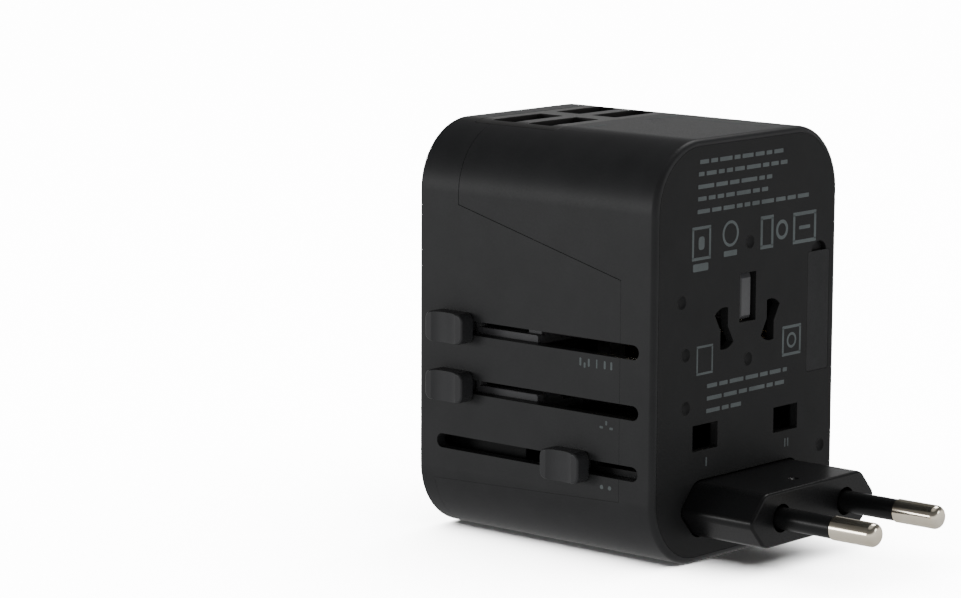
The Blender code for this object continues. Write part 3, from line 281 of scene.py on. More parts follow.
def prism(points, span, plane="xz", rounds=None, segments=4):
    # a drawn outline with rounded corners, pushed through the span across its plane
    bm = bmesh.new()
    corners = [bm.verts.new((u, v, 0.0)) for u, v in points]
    bm.faces.new(corners)
    if rounds:
        radii = rounds if isinstance(rounds, (list, tuple)) else [rounds] * len(points)
        flat = [Vector(p) for p in points]
        for i, radius in enumerate(radii):
            if radius:
                toLast = flat[i - 1] - flat[i]
                toNext = flat[(i + 1) % len(flat)] - flat[i]
                reach = radius / math.tan(toLast.angle(toNext) / 2)
                bmesh.ops.bevel(
                    bm, geom=[corners[i]], offset=reach, segments=segments, profile=0.5,
                    affect="VERTICES", material=-1,
                )
    grown = bmesh.ops.extrude_face_region(bm, geom=bm.faces[:])
    lifted = [g for g in grown["geom"] if isinstance(g, bmesh.types.BMVert)]
    low, high = (-span[1], -span[0]) if plane == "xz" else span
    bmesh.ops.translate(bm, vec=(0, 0, low), verts=[v for v in bm.verts if v not in set(lifted)])
    bmesh.ops.translate(bm, vec=(0, 0, high), verts=lifted)
    bmesh.ops.transform(bm, matrix=planes[plane], verts=bm.verts)
    bmesh.ops.recalc_face_normals(bm, faces=bm.faces)
    return bm


def spun(profile, centre, axis, steps=48):
    # (radius, distance along the axis) pairs, spun once round
    bm = bmesh.new()
    across, along = {"y": ((0, 0, 1), (0, 1, 0)), "z": ((1, 0, 0), (0, 0, 1))}[axis]
    across, along = Vector(across), Vector(along)
    line = [bm.verts.new(Vector(centre) + across * r + along * d) for r, d in profile]
    edges = [bm.edges.new(pair) for pair in zip(line, line[1:])]
    bmesh.ops.spin(
        bm, geom=line + edges, cent=centre, axis=along, dvec=(0, 0, 0), angle=2 * math.pi, steps=steps,
        use_merge=True, use_duplicate=False,
    )
    bmesh.ops.remove_doubles(bm, verts=bm.verts, dist=1e-7)
    bmesh.ops.recalc_face_normals(bm, faces=bm.faces)
    return bm


def merge(*shapes):
    # several closed shapes in one mesh, side by side
    whole = bmesh.new()
    for shape in shapes:
        carrier = bpy.data.meshes.new("carrier")
        shape.to_mesh(carrier)
        shape.free()
        whole.from_mesh(carrier)
        bpy.data.meshes.remove(carrier)
    return whole


def helperObject(bm):
    mesh = bpy.data.meshes.new("helper")
    bm.to_mesh(mesh)
    bm.free()
    helper = bpy.data.objects.new("helper", mesh)
    bpy.context.scene.collection.objects.link(helper)
    return helper


def carve(bm, *steps):
    # steps are ("cut" | "add" | "keep", shape); the result is a new bmesh
    operations = {"cut": "DIFFERENCE", "add": "UNION", "keep": "INTERSECT"}
    body = helperObject(bm)
    tools = []
    for kind, shape in steps:
        tool = helperObject(shape)
        tools.append(tool)
        modifier = body.modifiers.new(kind, "BOOLEAN")
        modifier.operation = operations[kind]
        modifier.solver = "EXACT"
        modifier.object = tool
    bpy.context.view_layer.update()
    graph = bpy.context.evaluated_depsgraph_get()
    result = bpy.data.meshes.new_from_object(body.evaluated_get(graph))
    for helper in [body, *tools]:
        bpy.data.objects.remove(helper, do_unlink=True)
    whole = bmesh.new()
    whole.from_mesh(result)
    bpy.data.meshes.remove(result)
    bmesh.ops.remove_doubles(whole, verts=whole.verts, dist=2e-6)
    bmesh.ops.dissolve_limit(
        whole, angle_limit=math.radians(0.4), verts=whole.verts, edges=whole.edges, delimit=set()
    )
    return whole


def soften(piece, width, segments=2, angle=32.0, sharp=40.0):
    # small rolled edges, and shading that keeps flat faces flat
    piece.data.shade_smooth()
    piece.data.set_sharp_from_angle(angle=math.radians(sharp))
    if width:
        bevel = piece.modifiers.new("rolledEdges", "BEVEL")
        bevel.width = width
        bevel.segments = segments
        bevel.limit_method = "ANGLE"
        bevel.angle_limit = math.radians(angle)
        bevel.use_clamp_overlap = True
        bevel.miter_outer = "MITER_ARC"
    weighted = piece.modifiers.new("flatShading", "WEIGHTED_NORMAL")
    weighted.keep_sharp = True
    weighted.weight = 60
    return piece


def fromCad(node, name, slot, body, width=0.15 * mm, segments=2):
    # a cleaned copy of a CAD solid with rolled edges
    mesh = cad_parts[node].data.copy()
    mesh.name = name
    bm = bmesh.new()
    bm.from_mesh(mesh)
    bpy.data.meshes.remove(mesh)
    bmesh.ops.remove_doubles(bm, verts=bm.verts, dist=1e-6)
    bmesh.ops.dissolve_limit(
        bm, angle_limit=math.radians(0.5), verts=bm.verts, edges=bm.edges, delimit=set()
    )
    return soften(asPiece(name, bm, slot, body, (node,)), width, segments)


def sleeveSolid(inset, y):
    return cuboid(
        (-sideX + inset, sideX - inset), y, (inset, topZ - inset), "y", housing["corner"] - inset, 20
    )


slots = {"y": (-22.75 * mm, 21.5 * mm), "height": 2.44 * mm, "z": (16.3 * mm, 26.5 * mm, 36.6 * mm)}
usbWindow = {"x": 16.8 * mm, "y": (2.4 * mm, 20.8 * mm), "corner": 0.8 * mm}
buttonHole = {"y": (-3.8 * mm, 12.0 * mm), "z": (17.9 * mm, 39.3 * mm), "corner": 2.8 * mm, "gap": 0.35 * mm}
seamLine = [  # round the socket half, seen from the button side
    (22.2, -1.0), (27.0, -1.0), (27.0, 72.0), (16.8, 72.0),
    (16.8, 57.4), (-18.8, 48.2), (-18.8, 11.2), (22.2, 9.6),
]


def wholeSleeve():
    outer = sleeveSolid(0.0, (-faceY, faceY))
    roundEnd(outer, 1, -1, housing["rimRound"], 5)
    roundEnd(outer, 1, 1, housing["rimRound"], 5)
    beyond = 1.0 * mm
    reach = plateBack - 0.3 * mm
    steps = [
        ("cut", sleeveSolid(housing["wall"], (-faceY - beyond, faceY + beyond))),
        ("cut", sleeveSolid(housing["rim"], (-faceY - beyond, -reach))),
        ("cut", sleeveSolid(housing["rim"], (reach, faceY + beyond))),
        ("cut", cuboid(
            (-usbWindow["x"], usbWindow["x"]), usbWindow["y"], (topZ - 5 * mm, topZ + beyond),
            "z", usbWindow["corner"], 5,
        )),
    ]
    for z in slots["z"]:
        half = slots["height"] / 2
        steps.append(("cut", cuboid(
            (-sideX - beyond, -innerX + beyond), slots["y"], (z - half, z + half), "x", half * 0.99, 8,
        )))
    return outer, steps


def grownOutline(points, distance):
    # pushes the sides of a counter-clockwise outline out, all alike or each by its own distance
    reach = distance if isinstance(distance, list) else [distance] * len(points)
    grown = []
    for i, point in enumerate(points):
        here = Vector(point)
        into = (here - Vector(points[i - 1])).normalized()
        out = (Vector(points[(i + 1) % len(points)]) - here).normalized()
        normals = Matrix(((into.y, -into.x), (out.y, -out.x)))
        grown.append(tuple(here + normals.inverted() @ Vector((reach[i - 1], reach[i]))))
    return grown


socketSide = [(y * mm, z * mm) for y, z in seamLine]
across = (-sideX - 2 * mm, sideX + 2 * mm)
outer, steps = wholeSleeve()
steps.append(("keep", prism(socketSide, across, "yz")))
steps.append(("cut", cuboid(
    (innerX - 1 * mm, sideX + 1 * mm), buttonHole["y"], buttonHole["z"], "x", buttonHole["corner"], 8,
)))
socketShell = asPiece("socketShell", carve(outer, *steps), "black_plastic", "housing", ("socket_shell",))
soften(socketShell, housing["edge"])
outer, steps = wholeSleeve()
wide, tight = housing["seam"], housing["tightSeam"]
seamGaps = [tight, tight, tight, wide, wide, tight, tight, tight]
steps.append(("cut", prism(grownOutline(socketSide, seamGaps), across, "yz")))
pinShell = asPiece("pinShell", carve(outer, *steps), "black_plastic", "housing", ("pin_shell",))
soften(pinShell, housing["edge"])
print("housing shells built")


hexHalf = {"wide": 17.5 * mm, "flat": 13.4 * mm, "high": 4.6 * mm, "z": 9.2 * mm, "round": 2.3 * mm}


def euHexagon(grow):
    half = [(hexHalf["flat"], -hexHalf["high"]), (hexHalf["wide"], 0.0), (hexHalf["flat"], hexHalf["high"])]
    points = grownOutline(half + [(-u, v) for u, v in reversed(half)], grow)
    return [(u, v + hexHalf["z"]) for u, v in points]


hexRounds = [hexHalf["round"], hexHalf["round"] * 0.6, hexHalf["round"]] * 2
blades = {
    "x": 6.35 * mm, "z": 38.8 * mm, "thick": 1.5 * mm, "tall": 6.35 * mm, "play": 0.25 * mm,
    "turn": math.radians(30),
}


def bowTie(side):
    half = blades["thick"] / 2 + blades["play"]
    reach = blades["tall"] / 2 + blades["play"]
    turn = blades["turn"]
    lean = math.atan2(half, reach)
    radius = math.hypot(half, reach)
    points = [(half, half * math.tan(turn / 2))]
    for i in range(9):
        angle = -lean + (turn + 2 * lean) * i / 8
        points.append((-radius * math.sin(angle), radius * math.cos(angle)))
    points += [(-u, -v) for u, v in points]
    if side > 0:
        points = [(-u, v) for u, v in reversed(points)]
    return [(u + side * blades["x"], v + blades["z"]) for u, v in points]


pinHoles = {"x": 11.1 * mm, "z": 21.2 * mm, "size": (6.75 * mm, 4.4 * mm)}
earthHole = {"z": 43.4 * mm, "size": (4.4 * mm, 8.3 * mm)}
fuseDoorway = {"x": (16.74 * mm, 22.96 * mm), "z": (28.34 * mm, 49.16 * mm), "corner": 0.5 * mm}
notch = {"at": (19.85 * mm, 49.2 * mm), "half": 2.05 * mm, "rise": 1.6 * mm, "depth": 0.9 * mm}
dimples = {
    "at": ((0.4, 52.6), (-17.8, 44.4), (-16.6, 35.5), (0.3, 32.8), (-16.4, 26.6), (21.2, 15.0)),
    "radius": 1.15 * mm,
    "depth": 0.5 * mm,
}


def through(face):
    return (face - 3 * mm, face + 3 * mm)


def pinPlateShape():
    inset = housing["rim"] + housing["plateGap"]
    span = (-faceY, -plateBack)
    plate = sleeveSolid(inset, span)
    wide, high = (s / 2 for s in pinHoles["size"])
    steps = [
        ("cut", cuboid((x - wide, x + wide), through(-faceY), (pinHoles["z"] - high, pinHoles["z"] + high)))
        for x in (-pinHoles["x"], pinHoles["x"])
    ]
    wide, high = (s / 2 for s in earthHole["size"])
    steps += [
        ("cut", cuboid((-wide, wide), through(-faceY), (earthHole["z"] - high, earthHole["z"] + high))),
        ("cut", prism(euHexagon(0.25 * mm), through(-faceY), "xz", hexRounds, 6)),
        ("cut", prism(bowTie(-1), through(-faceY))),
        ("cut", prism(bowTie(1), through(-faceY))),
        ("cut", cuboid(fuseDoorway["x"], through(-faceY), fuseDoorway["z"], "y", fuseDoorway["corner"], 4)),
    ]
    hollow = rod((0, -faceY, 0), notch["half"], 2 * notch["depth"], "y", 48)
    bmesh.ops.scale(hollow, vec=(1, 1, notch["rise"] / notch["half"]), verts=hollow.verts)
    bmesh.ops.translate(hollow, vec=(notch["at"][0], 0, notch["at"][1]), verts=hollow.verts)
    steps.append(("cut", hollow))
    flatRadius, depth = dimples["radius"], dimples["depth"]
    dish = (flatRadius ** 2 + depth ** 2) / (2 * depth)
    for x, z in dimples["at"]:
        steps.append(("cut", ball((x * mm, -faceY - dish + depth, z * mm), dish)))
    return carve(plate, *steps)


pinPlate = asPiece("pinPlate", pinPlateShape(), "grey_plastic", "housing", ("pin_plate",))
soften(pinPlate, 0.12 * mm)

socketFace = {
    "x": -2.15 * mm,
    "pinZ": 34.5 * mm,
    "earth": (4.7 * mm, 9.4 * mm, 11.7 * mm),
    "oval": (4.4 * mm, 10.0 * mm, 32.0 * mm),
    "slant": (1.7 * mm, 6.8 * mm, 6.85 * mm, 17.5 * mm),
    "lean": math.radians(30),
    "blade": (1.8 * mm, 6.35 * mm, 22.7 * mm),
    "bladeLengths": (7.3 * mm, 8.7 * mm),
    "roundAt": 9.5 * mm,
    "roundRadius": 2.6 * mm,
    "flatOuter": 14.25 * mm,
    "flatHeight": 4.6 * mm,
}


def socketPlateShape():
    f = socketFace
    inset = housing["rim"] + housing["plateGap"]
    plate = sleeveSolid(inset, (plateBack, faceY))
    x0 = f["x"]
    wide, high, z = f["earth"]
    steps = [("cut", cuboid((x0 - wide / 2, x0 + wide / 2), through(faceY), (z - high / 2, z + high / 2)))]
    wide, high, z = f["oval"]
    steps.append(("cut", cuboid(
        (x0 - wide / 2, x0 + wide / 2), through(faceY), (z - high / 2, z + high / 2), "y", wide * 0.495, 10,
    )))
    for side, length in zip((-1, 1), f["bladeLengths"]):
        thick, high, offset, z = f["slant"]
        slit = cuboid((-thick / 2, thick / 2), through(faceY), (-high / 2, high / 2))
        lean = Matrix.Rotation(side * socketFace["lean"], 3, "Y")
        bmesh.ops.rotate(slit, cent=(0, 0, 0), matrix=lean, verts=slit.verts)
        bmesh.ops.translate(slit, vec=(x0 + side * offset, 0, z), verts=slit.verts)
        steps.append(("cut", slit))
        thick, offset, low = f["blade"]
        x = x0 + side * offset
        steps.append(("cut", cuboid((x - thick / 2, x + thick / 2), through(faceY), (low, low + length))))
        x = x0 + side * f["roundAt"]
        hole = rod((x, faceY, f["pinZ"]), f["roundRadius"], 6 * mm, "y")
        flat = sorted((x, x0 + side * f["flatOuter"]))
        half = f["flatHeight"] / 2
        steps.append(("cut", hole))
        steps.append(("cut", cuboid(flat, through(faceY), (f["pinZ"] - half, f["pinZ"] + half))))
    return carve(plate, *steps)


socketPlate = asPiece("socketPlate", socketPlateShape(), "grey_plastic", "housing", ("socket_plate",))
soften(socketPlate, 0.12 * mm)
print("face plates built")


# printed marks are plain bars, frames and rings
ink = {"thick": 0.014 * mm, "lift": 0.004 * mm}


def bar(x, z, wide, high, face, corner=0.35):
    corner = min(wide, high) / 2 * 0.98 * min(1.0, corner * 2)
    if face == "pin":
        span = (-faceY - ink["lift"] - ink["thick"], -faceY - ink["lift"])
        return cuboid((x - wide / 2, x + wide / 2), span, (z - high / 2, z + high / 2), "y", corner, 3)
    if face == "slider":
        span = (-sideX - ink["lift"] - ink["thick"], -sideX - ink["lift"])
        return cuboid(span, (x - wide / 2, x + wide / 2), (z - high / 2, z + high / 2), "x", corner, 3)
    span = (topZ + ink["lift"], topZ + ink["lift"] + ink["thick"])
    return cuboid((x - wide / 2, x + wide / 2), (z - high / 2, z + high / 2), span, "z", corner, 3)


def frameMark(x, z, wide, high, line, face="pin", corner=0.2):
    # a rounded outline: four bars meeting at their ends
    half = (wide - line) / 2
    tall = (high - line) / 2
    return [
        bar(x, z + tall, wide, line, face, corner),
        bar(x, z - tall, wide, line, face, corner),
        bar(x - half, z, line, high - 1.6 * line, face, corner),
        bar(x + half, z, line, high - 1.6 * line, face, corner),
    ]


def ringMark(x, z, outer, line, face="pin"):
    if face == "pin":
        near, far = -faceY - ink["lift"] - ink["thick"], -faceY - ink["lift"]
        centre, axis = (x, 0, z), "y"
    else:
        near, far = topZ + ink["lift"], topZ + ink["lift"] + ink["thick"]
        centre, axis = (x, z, 0), "z"
    inner = outer - line
    return spun([(outer, near), (outer, far), (inner, far), (inner, near), (outer, near)], centre, axis, 40)


def greekedLine(x0, x1, z, face, high=0.7 * mm):
    # a row of bars of uneven length in place of words
    shapes, x = [], x0
    while x < x1 - 0.8 * mm:
        wide = min(random.uniform(1.4, 4.4) * mm, x1 - x)
        shapes.append(bar(x + wide / 2, z, wide, high, face, 0.2))
        x += wide + 0.55 * mm
    return shapes


pinFaceText = (
    (-13.5, 9.2, 66.5), (-13.8, 10.4, 64.5), (-13.9, 6.2, 62.4), (-13.9, 5.1, 60.4), (-14.0, 17.0, 58.3),
    (-10.8, 11.3, 28.9), (-10.8, 11.4, 26.8), (-10.9, -0.1, 24.7),
)
marks = []
for x0, x1, z in pinFaceText:
    marks += greekedLine(x0 * mm, x1 * mm, (z + 0.75) * mm, "pin")
marks += frameMark(-12.8 * mm, 53.8 * mm, 5.0 * mm, 5.6 * mm, 0.5 * mm)
marks.append(bar(-12.8 * mm, 53.8 * mm, 1.6 * mm, 2.2 * mm, "pin"))
marks.append(bar(-12.95 * mm, 49.8 * mm, 4.1 * mm, 1.3 * mm, "pin", 0.2))
marks.append(ringMark(-5.0 * mm, 54.6 * mm, 2.2 * mm, 0.5 * mm))
marks.append(bar(-5.0 * mm, 51.3 * mm, 3.6 * mm, 0.95 * mm, "pin", 0.2))
marks += frameMark(5.0 * mm, 53.8 * mm, 3.6 * mm, 5.6 * mm, 0.62 * mm)
marks.append(ringMark(9.2 * mm, 53.8 * mm, 1.7 * mm, 0.62 * mm))
marks += frameMark(15.6 * mm, 53.6 * mm, 6.6 * mm, 5.4 * mm, 0.62 * mm)
marks.append(bar(15.6 * mm, 53.6 * mm, 3.2 * mm, 0.62 * mm, "pin"))
marks += frameMark(12.45 * mm, 34.5 * mm, 5.3 * mm, 5.2 * mm, 0.5 * mm)
marks.append(ringMark(12.45 * mm, 34.5 * mm, 1.35 * mm, 0.45 * mm))
marks += frameMark(-11.5 * mm, 34.2 * mm, 4.4 * mm, 4.9 * mm, 0.38 * mm)
marks.append(bar(-10.7 * mm, 16.9 * mm, 0.38 * mm, 1.5 * mm, "pin"))
marks.append(bar(11.1 * mm, 16.9 * mm, 0.38 * mm, 1.5 * mm, "pin"))
marks.append(bar(11.9 * mm, 16.9 * mm, 0.38 * mm, 1.5 * mm, "pin"))
asPiece("pinFacePrint", merge(*marks), "carrier_grey", "housing", material=printInk)

# pin layouts beside the sliders: two blades, three pins, two dots
marks = []
for y in (-17.0, -15.6):
    marks.append(bar(y * mm, 33.8 * mm, 0.42 * mm, 1.35 * mm, "slider"))
marks.append(bar(-13.9 * mm, 33.8 * mm, 0.28 * mm, 1.5 * mm, "slider"))
for y in (-12.2, -10.4):
    marks.append(bar(y * mm, 33.8 * mm, 0.42 * mm, 1.35 * mm, "slider"))
marks.append(bar(-11.3 * mm, 33.3 * mm, 0.42 * mm, 0.9 * mm, "slider"))
marks.append(bar(-16.05 * mm, 24.15 * mm, 0.42 * mm, 0.75 * mm, "slider"))
for y in (-17.1, -15.0):
    marks.append(bar(y * mm, 23.35 * mm, 0.75 * mm, 0.42 * mm, "slider"))
for y in (-16.9, -15.2):
    marks.append(bar(y * mm, 13.3 * mm, 0.75 * mm, 0.75 * mm, "slider", 0.5))
asPiece("sliderPrint", merge(*marks), "carrier_grey", "housing", material=printInk)

marks = greekedLine(-12.2 * mm, -7.6 * mm, -1.1 * mm, "top", 0.8 * mm)
marks += greekedLine(5.2 * mm, 11.8 * mm, -1.1 * mm, "top", 0.8 * mm)
marks.append(ringMark(4.1 * mm, -1.1 * mm, 0.7 * mm, 0.25 * mm, "top"))
asPiece("portPrint", merge(*marks), "carrier_grey", "housing", material=printInk)
print("printed marks laid")


knob = {
    "length": 8.4 * mm, "height": 5.2 * mm, "rise": 3.2 * mm, "corner": 1.3 * mm, "hollow": 0.5 * mm,
    "stem": (4.6 * mm, 1.7 * mm), "pad": 3.55 * mm, "scoop": 8.2 * mm, "gap": 0.3 * mm, "stemEnd": -21.0 * mm,
}
knobs = (
    ("usKnob", "us_knob", "us_plug", 17.3 * mm, slots["z"][2]),
    ("ukKnob", "uk_knob", "uk_plug", 17.3 * mm, slots["z"][1]),
    ("euKnob", "eu_knob", "eu_plug", -8.45 * mm, slots["z"][0]),
)


def knobShape(y, z):
    outerX = -sideX - knob["rise"]
    innerEnd = -sideX - knob["gap"]
    half, tall = knob["length"] / 2, knob["height"] / 2
    block = cuboid((outerX, innerEnd), (y - half, y + half), (z - tall, z + tall), "x", knob["corner"], 6)
    roundEnd(block, 0, -1, 0.35 * mm, 4)
    radius = knob["scoop"]
    scoop = rod((outerX + knob["hollow"] - radius, y, z), radius, knob["height"] * 2, "z", 128)
    long, thick = (s / 2 for s in knob["stem"])
    stemX = (innerEnd - knob["gap"], knob["stemEnd"])
    stem = cuboid(stemX, (y - long, y + long), (z - thick, z + thick))
    return carve(block, ("cut", scoop), ("add", stem))


for name, node, body, y, z in knobs:
    soften(asPiece(name, knobShape(y, z), "gloss_plastic", body, (node,)), 0.28 * mm, 4, 30.0, 60.0)

euPlug = {
    "front": -40.35 * mm, "edge": 0.5 * mm, "flange": 1.0 * mm, "back": -plateBack + 3.05 * mm,
    "flangeFront": -plateBack + 1.15 * mm, "pinX": 8.9 * mm, "tip": -59.65 * mm, "tipLength": 8.6 * mm,
    "bore": {"radius": 2.4 * mm, "middle": -31 * mm, "length": 24 * mm},
    "arm": {"x": (-22.6 * mm, -20.8 * mm), "webEnd": -14 * mm, "low": 2 * mm, "webLow": 13.4 * mm},
    "earthPocket": {"half": 2.65 * mm, "depth": 4.5 * mm, "z": (7 * mm, 16.3 * mm)},
    "dimple": {"at": (0.2 * mm, -35.9 * mm), "radius": 1.2 * mm, "lift": 0.8 * mm},
}


def euBlockShape():
    front, back, flangeFront = euPlug["front"], euPlug["back"], euPlug["flangeFront"]
    body = prism(euHexagon(0.0), (front, back), "xz", hexRounds, 6)
    roundEnd(body, 1, -1, euPlug["edge"], 3)
    slotZ = slots["z"][0]
    knobY = knobs[2][3]
    arm, pocket, dimple, bore = (euPlug[part] for part in ("arm", "earthPocket", "dimple", "bore"))
    armX = arm["x"]
    armTop = slotZ - 0.1 * mm
    pad = (knobY - knob["pad"], knobY + knob["pad"])
    stem = knob["stem"][0] / 2 + 0.3 * mm
    stemHole = (slotZ - 1.15 * mm, slotZ + 1.15 * mm)
    pocketX = (socketFace["x"] - pocket["half"], socketFace["x"] + pocket["half"])
    dimpleZ = hexHalf["z"] + hexHalf["high"] + dimple["lift"]
    steps = [
        ("add", prism(euHexagon(euPlug["flange"]), (flangeFront, back), "xz", hexRounds, 6)),
        ("add", cuboid((armX[0], arm["webEnd"]), (flangeFront, back), (arm["webLow"], armTop))),
        ("add", cuboid(armX, (flangeFront, knobY - 3 * mm), (slotZ - arm["low"], armTop))),
        ("add", cuboid(armX, pad, (slotZ - 2.2 * mm, slotZ + 2.2 * mm))),
        ("cut", cuboid((-25 * mm, -18 * mm), (knobY - stem, knobY + stem), stemHole)),
        ("cut", cuboid(pocketX, (back - pocket["depth"], back + 1 * mm), pocket["z"])),
        ("cut", ball((*dimple["at"], dimpleZ), dimple["radius"])),
    ]
    for x in (-euPlug["pinX"], euPlug["pinX"]):
        hole = rod((x, bore["middle"], hexHalf["z"]), bore["radius"], bore["length"], "y", 64)
        steps.append(("cut", hole))
    return carve(body, *steps)


euBlock = asPiece("euBlock", euBlockShape(), "black_plastic", "eu_plug", ("eu_block",), plugBlack)
soften(euBlock, 0.12 * mm, 2, 40.0)


euPin = {
    "radius": 2.0 * mm, "nose": 1.15 * mm, "neck": 1.3 * mm, "edge": 0.12 * mm,
    "collar": (-21.1 * mm, -17.4 * mm), "head": (2.8 * mm, -16.4 * mm),
}
euSleeve = {"outer": 1.85 * mm, "inner": 1.5 * mm, "back": -33.05 * mm, "gap": 0.05 * mm, "edge": 0.1 * mm}


def euPinShape(x):
    tip = euPlug["tip"]
    radius, nose, neck, edge = (euPin[size] for size in ("radius", "nose", "neck", "edge"))
    collarFront, collarBack = euPin["collar"]
    headRadius, end = euPin["head"]
    profile = [(0.0, tip)]
    arcSteps = 8
    for i in range(1, arcSteps + 1):
        angle = math.pi / 2 * i / arcSteps
        profile.append((radius - nose + nose * math.sin(angle), tip + nose - nose * math.cos(angle)))
    root = tip + euPlug["tipLength"]
    profile += [
        (radius, root - edge), (radius - edge, root), (neck, root), (neck, collarFront),
        (radius, collarFront), (radius, collarBack), (headRadius, collarBack), (headRadius, end), (0.0, end),
    ]
    return spun(profile, (x, 0.0, hexHalf["z"]), "y", 64)


def euSleeveShape(x):
    front = euPlug["tip"] + euPlug["tipLength"] + euSleeve["gap"]
    outer, inner, back, edge = (euSleeve[size] for size in ("outer", "inner", "back", "edge"))
    profile = [
        (inner, front), (outer - edge, front), (outer, front + edge), (outer, back), (inner, back),
        (inner, front),
    ]
    return spun(profile, (x, 0.0, hexHalf["z"]), "y", 64)


for side, label in ((-1, "left"), (1, "right")):
    x = side * euPlug["pinX"]
    pin = asPiece("euPin" + label.title(), euPinShape(x), "nickel", "eu_pins", ("eu_pin_" + label,))
    soften(pin, 0.0)
    covers = ("eu_pin_sleeve_" + label,)
    sleeve = euSleeveShape(x)
    cover = asPiece("euSleeve" + label.title(), sleeve, "black_plastic", "eu_pins", covers, plugBlack)
    soften(cover, 0.0)
fromCad("eu_pin_carrier", "euPinCarrier", "black_plastic", "eu_pins", 0.25 * mm)

fromCad("uk_carrier", "ukCarrier", "carrier_grey", "uk_plug", 0.22 * mm)
fromCad("us_carrier", "usCarrier", "carrier_grey", "us_plug", 0.22 * mm)
for label in ("live", "neutral"):
    fromCad("uk_pin_" + label, "ukPin" + label.title(), "nickel", "uk_plug", 0.2 * mm, 3)
    fromCad("uk_pin_sleeve_" + label, "ukSleeve" + label.title(), "black_plastic", "uk_plug", 0.15 * mm)
for label in ("left", "right"):
    fromCad("us_blade_" + label, "usBlade" + label.title(), "nickel", "us_" + label, 0.12 * mm)
print("plugs built")


button = {
    "rise": 0.6 * mm, "edge": 0.45 * mm, "lip": 0.8 * mm, "root": 0.8 * mm, "flange": (1.8 * mm, 0.3 * mm),
}


def buttonShape():
    gap = buttonHole["gap"]
    y = (buttonHole["y"][0] + gap, buttonHole["y"][1] - gap)
    z = (buttonHole["z"][0] + gap, buttonHole["z"][1] - gap)
    capX = (innerX - button["root"], sideX + button["rise"])
    cap = cuboid(capX, y, z, "x", buttonHole["corner"] - gap, 8)
    roundEnd(cap, 0, 1, button["edge"], 4)
    lip = button["lip"]
    flangeX = tuple(innerX - depth for depth in button["flange"])
    flange = cuboid(
        flangeX, (buttonHole["y"][0] - lip, buttonHole["y"][1] + lip),
        (buttonHole["z"][0] - lip, buttonHole["z"][1] + lip), "x", 3 * mm, 6,
    )
    return carve(cap, ("add", flange))


soften(asPiece("releaseButton", buttonShape(), "black_plastic", "release", ("release_button",)), 0.1 * mm)
fromCad("latch_bar", "latchBar", "carrier_grey", "release", 0.15 * mm)
fromCad("fuse_door", "fuseDoor", "door_plastic", "fuse_drawer", 0.18 * mm, 3)
fromCad("socket_shutter", "socketShutter", "carrier_grey", "shutter", 0.2 * mm)


def fuseTubeShape():
    low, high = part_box("fuse_tube")
    centre = ((low.x + high.x) / 2, (low.y + high.y) / 2, 0.0)
    radius = (high.x - low.x) / 2
    edge = 0.2 * mm
    return spun(
        [(0, high.z), (radius - edge, high.z), (radius, high.z - edge), (radius, low.z + edge),
         (radius - edge, low.z), (0, low.z)], centre, "z",
    )


def fuseCapShape(node, side):
    low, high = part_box(node)
    centre = ((low.x + high.x) / 2, (low.y + high.y) / 2, 0.0)
    radius = (high.x - low.x) / 2
    end, mouth = (high.z, low.z) if side > 0 else (low.z, high.z)
    d = side * mm
    return spun(
        [(0, end - 0.1 * d), (radius - 0.9 * mm, end), (radius - 0.3 * mm, end), (radius, end - 0.35 * d),
         (radius, end - 3.4 * d), (radius - 0.12 * mm, end - 3.6 * d), (radius, end - 3.8 * d),
         (radius, mouth), (0, mouth)], centre, "z",
    )


soften(asPiece("fuseTube", fuseTubeShape(), "ceramic", "fuse_drawer", ("fuse_tube",)), 0.0)
for label, side in (("low", -1), ("high", 1)):
    node = "fuse_cap_" + label
    cap = asPiece("fuseCap" + label.title(), fuseCapShape(node, side), "steel", "fuse_drawer", (node,))
    soften(cap, 0.0)
print("button, fuse and shutter built")


ports = {
    "x": 8.45 * mm, "rows": (7.6 * mm, 15.7 * mm), "opening": (12.5 * mm, 5.3 * mm), "wall": 0.42 * mm,
    "shell": (13.3 * mm, 5.9 * mm), "contacts": 4, "pitch": 2.3 * mm, "latches": (-3.2 * mm, 3.2 * mm),
}
bezel = {
    "top": 70.98 * mm, "thick": 2.6 * mm, "flange": 1.0 * mm, "gap": 0.06 * mm,
    "lip": 1.1 * mm, "lipX": 12 * mm,
}


def portCentres():
    number = 0
    for y in ports["rows"]:
        for x in (-ports["x"], ports["x"]):
            number += 1
            yield number, x, y


def bezelShape():
    under = bezel["top"] - bezel["thick"]
    gap = bezel["gap"]
    y = (usbWindow["y"][0] + gap, usbWindow["y"][1] - gap)
    x = (-usbWindow["x"] + gap, usbWindow["x"] - gap)
    plate = cuboid(x, y, (under, bezel["top"]), "z", usbWindow["corner"] - gap, 5)
    lip = bezel["lip"]
    steps = [("add", cuboid(
        (-bezel["lipX"], bezel["lipX"]), (usbWindow["y"][0] - lip, usbWindow["y"][1] + lip),
        (under - bezel["flange"], under + 0.3 * mm),
    ))]
    wide, high = (s / 2 for s in ports["opening"])
    for number, x, y in portCentres():
        hole = cuboid((x - wide, x + wide), (y - high, y + high), (under - 4 * mm, topZ), "z", 0.35 * mm, 3)
        steps.append(("cut", hole))
    # its ends fall away with the housing's rounding
    steps.append(("keep", sleeveSolid(topZ - bezel["top"], (-faceY, faceY))))
    return carve(plate, *steps)


usbBezel = asPiece("usbBezel", bezelShape(), "grey_plastic", "housing", ("usb_bezel",), bezelSatin)
soften(usbBezel, 0.2 * mm, 3)


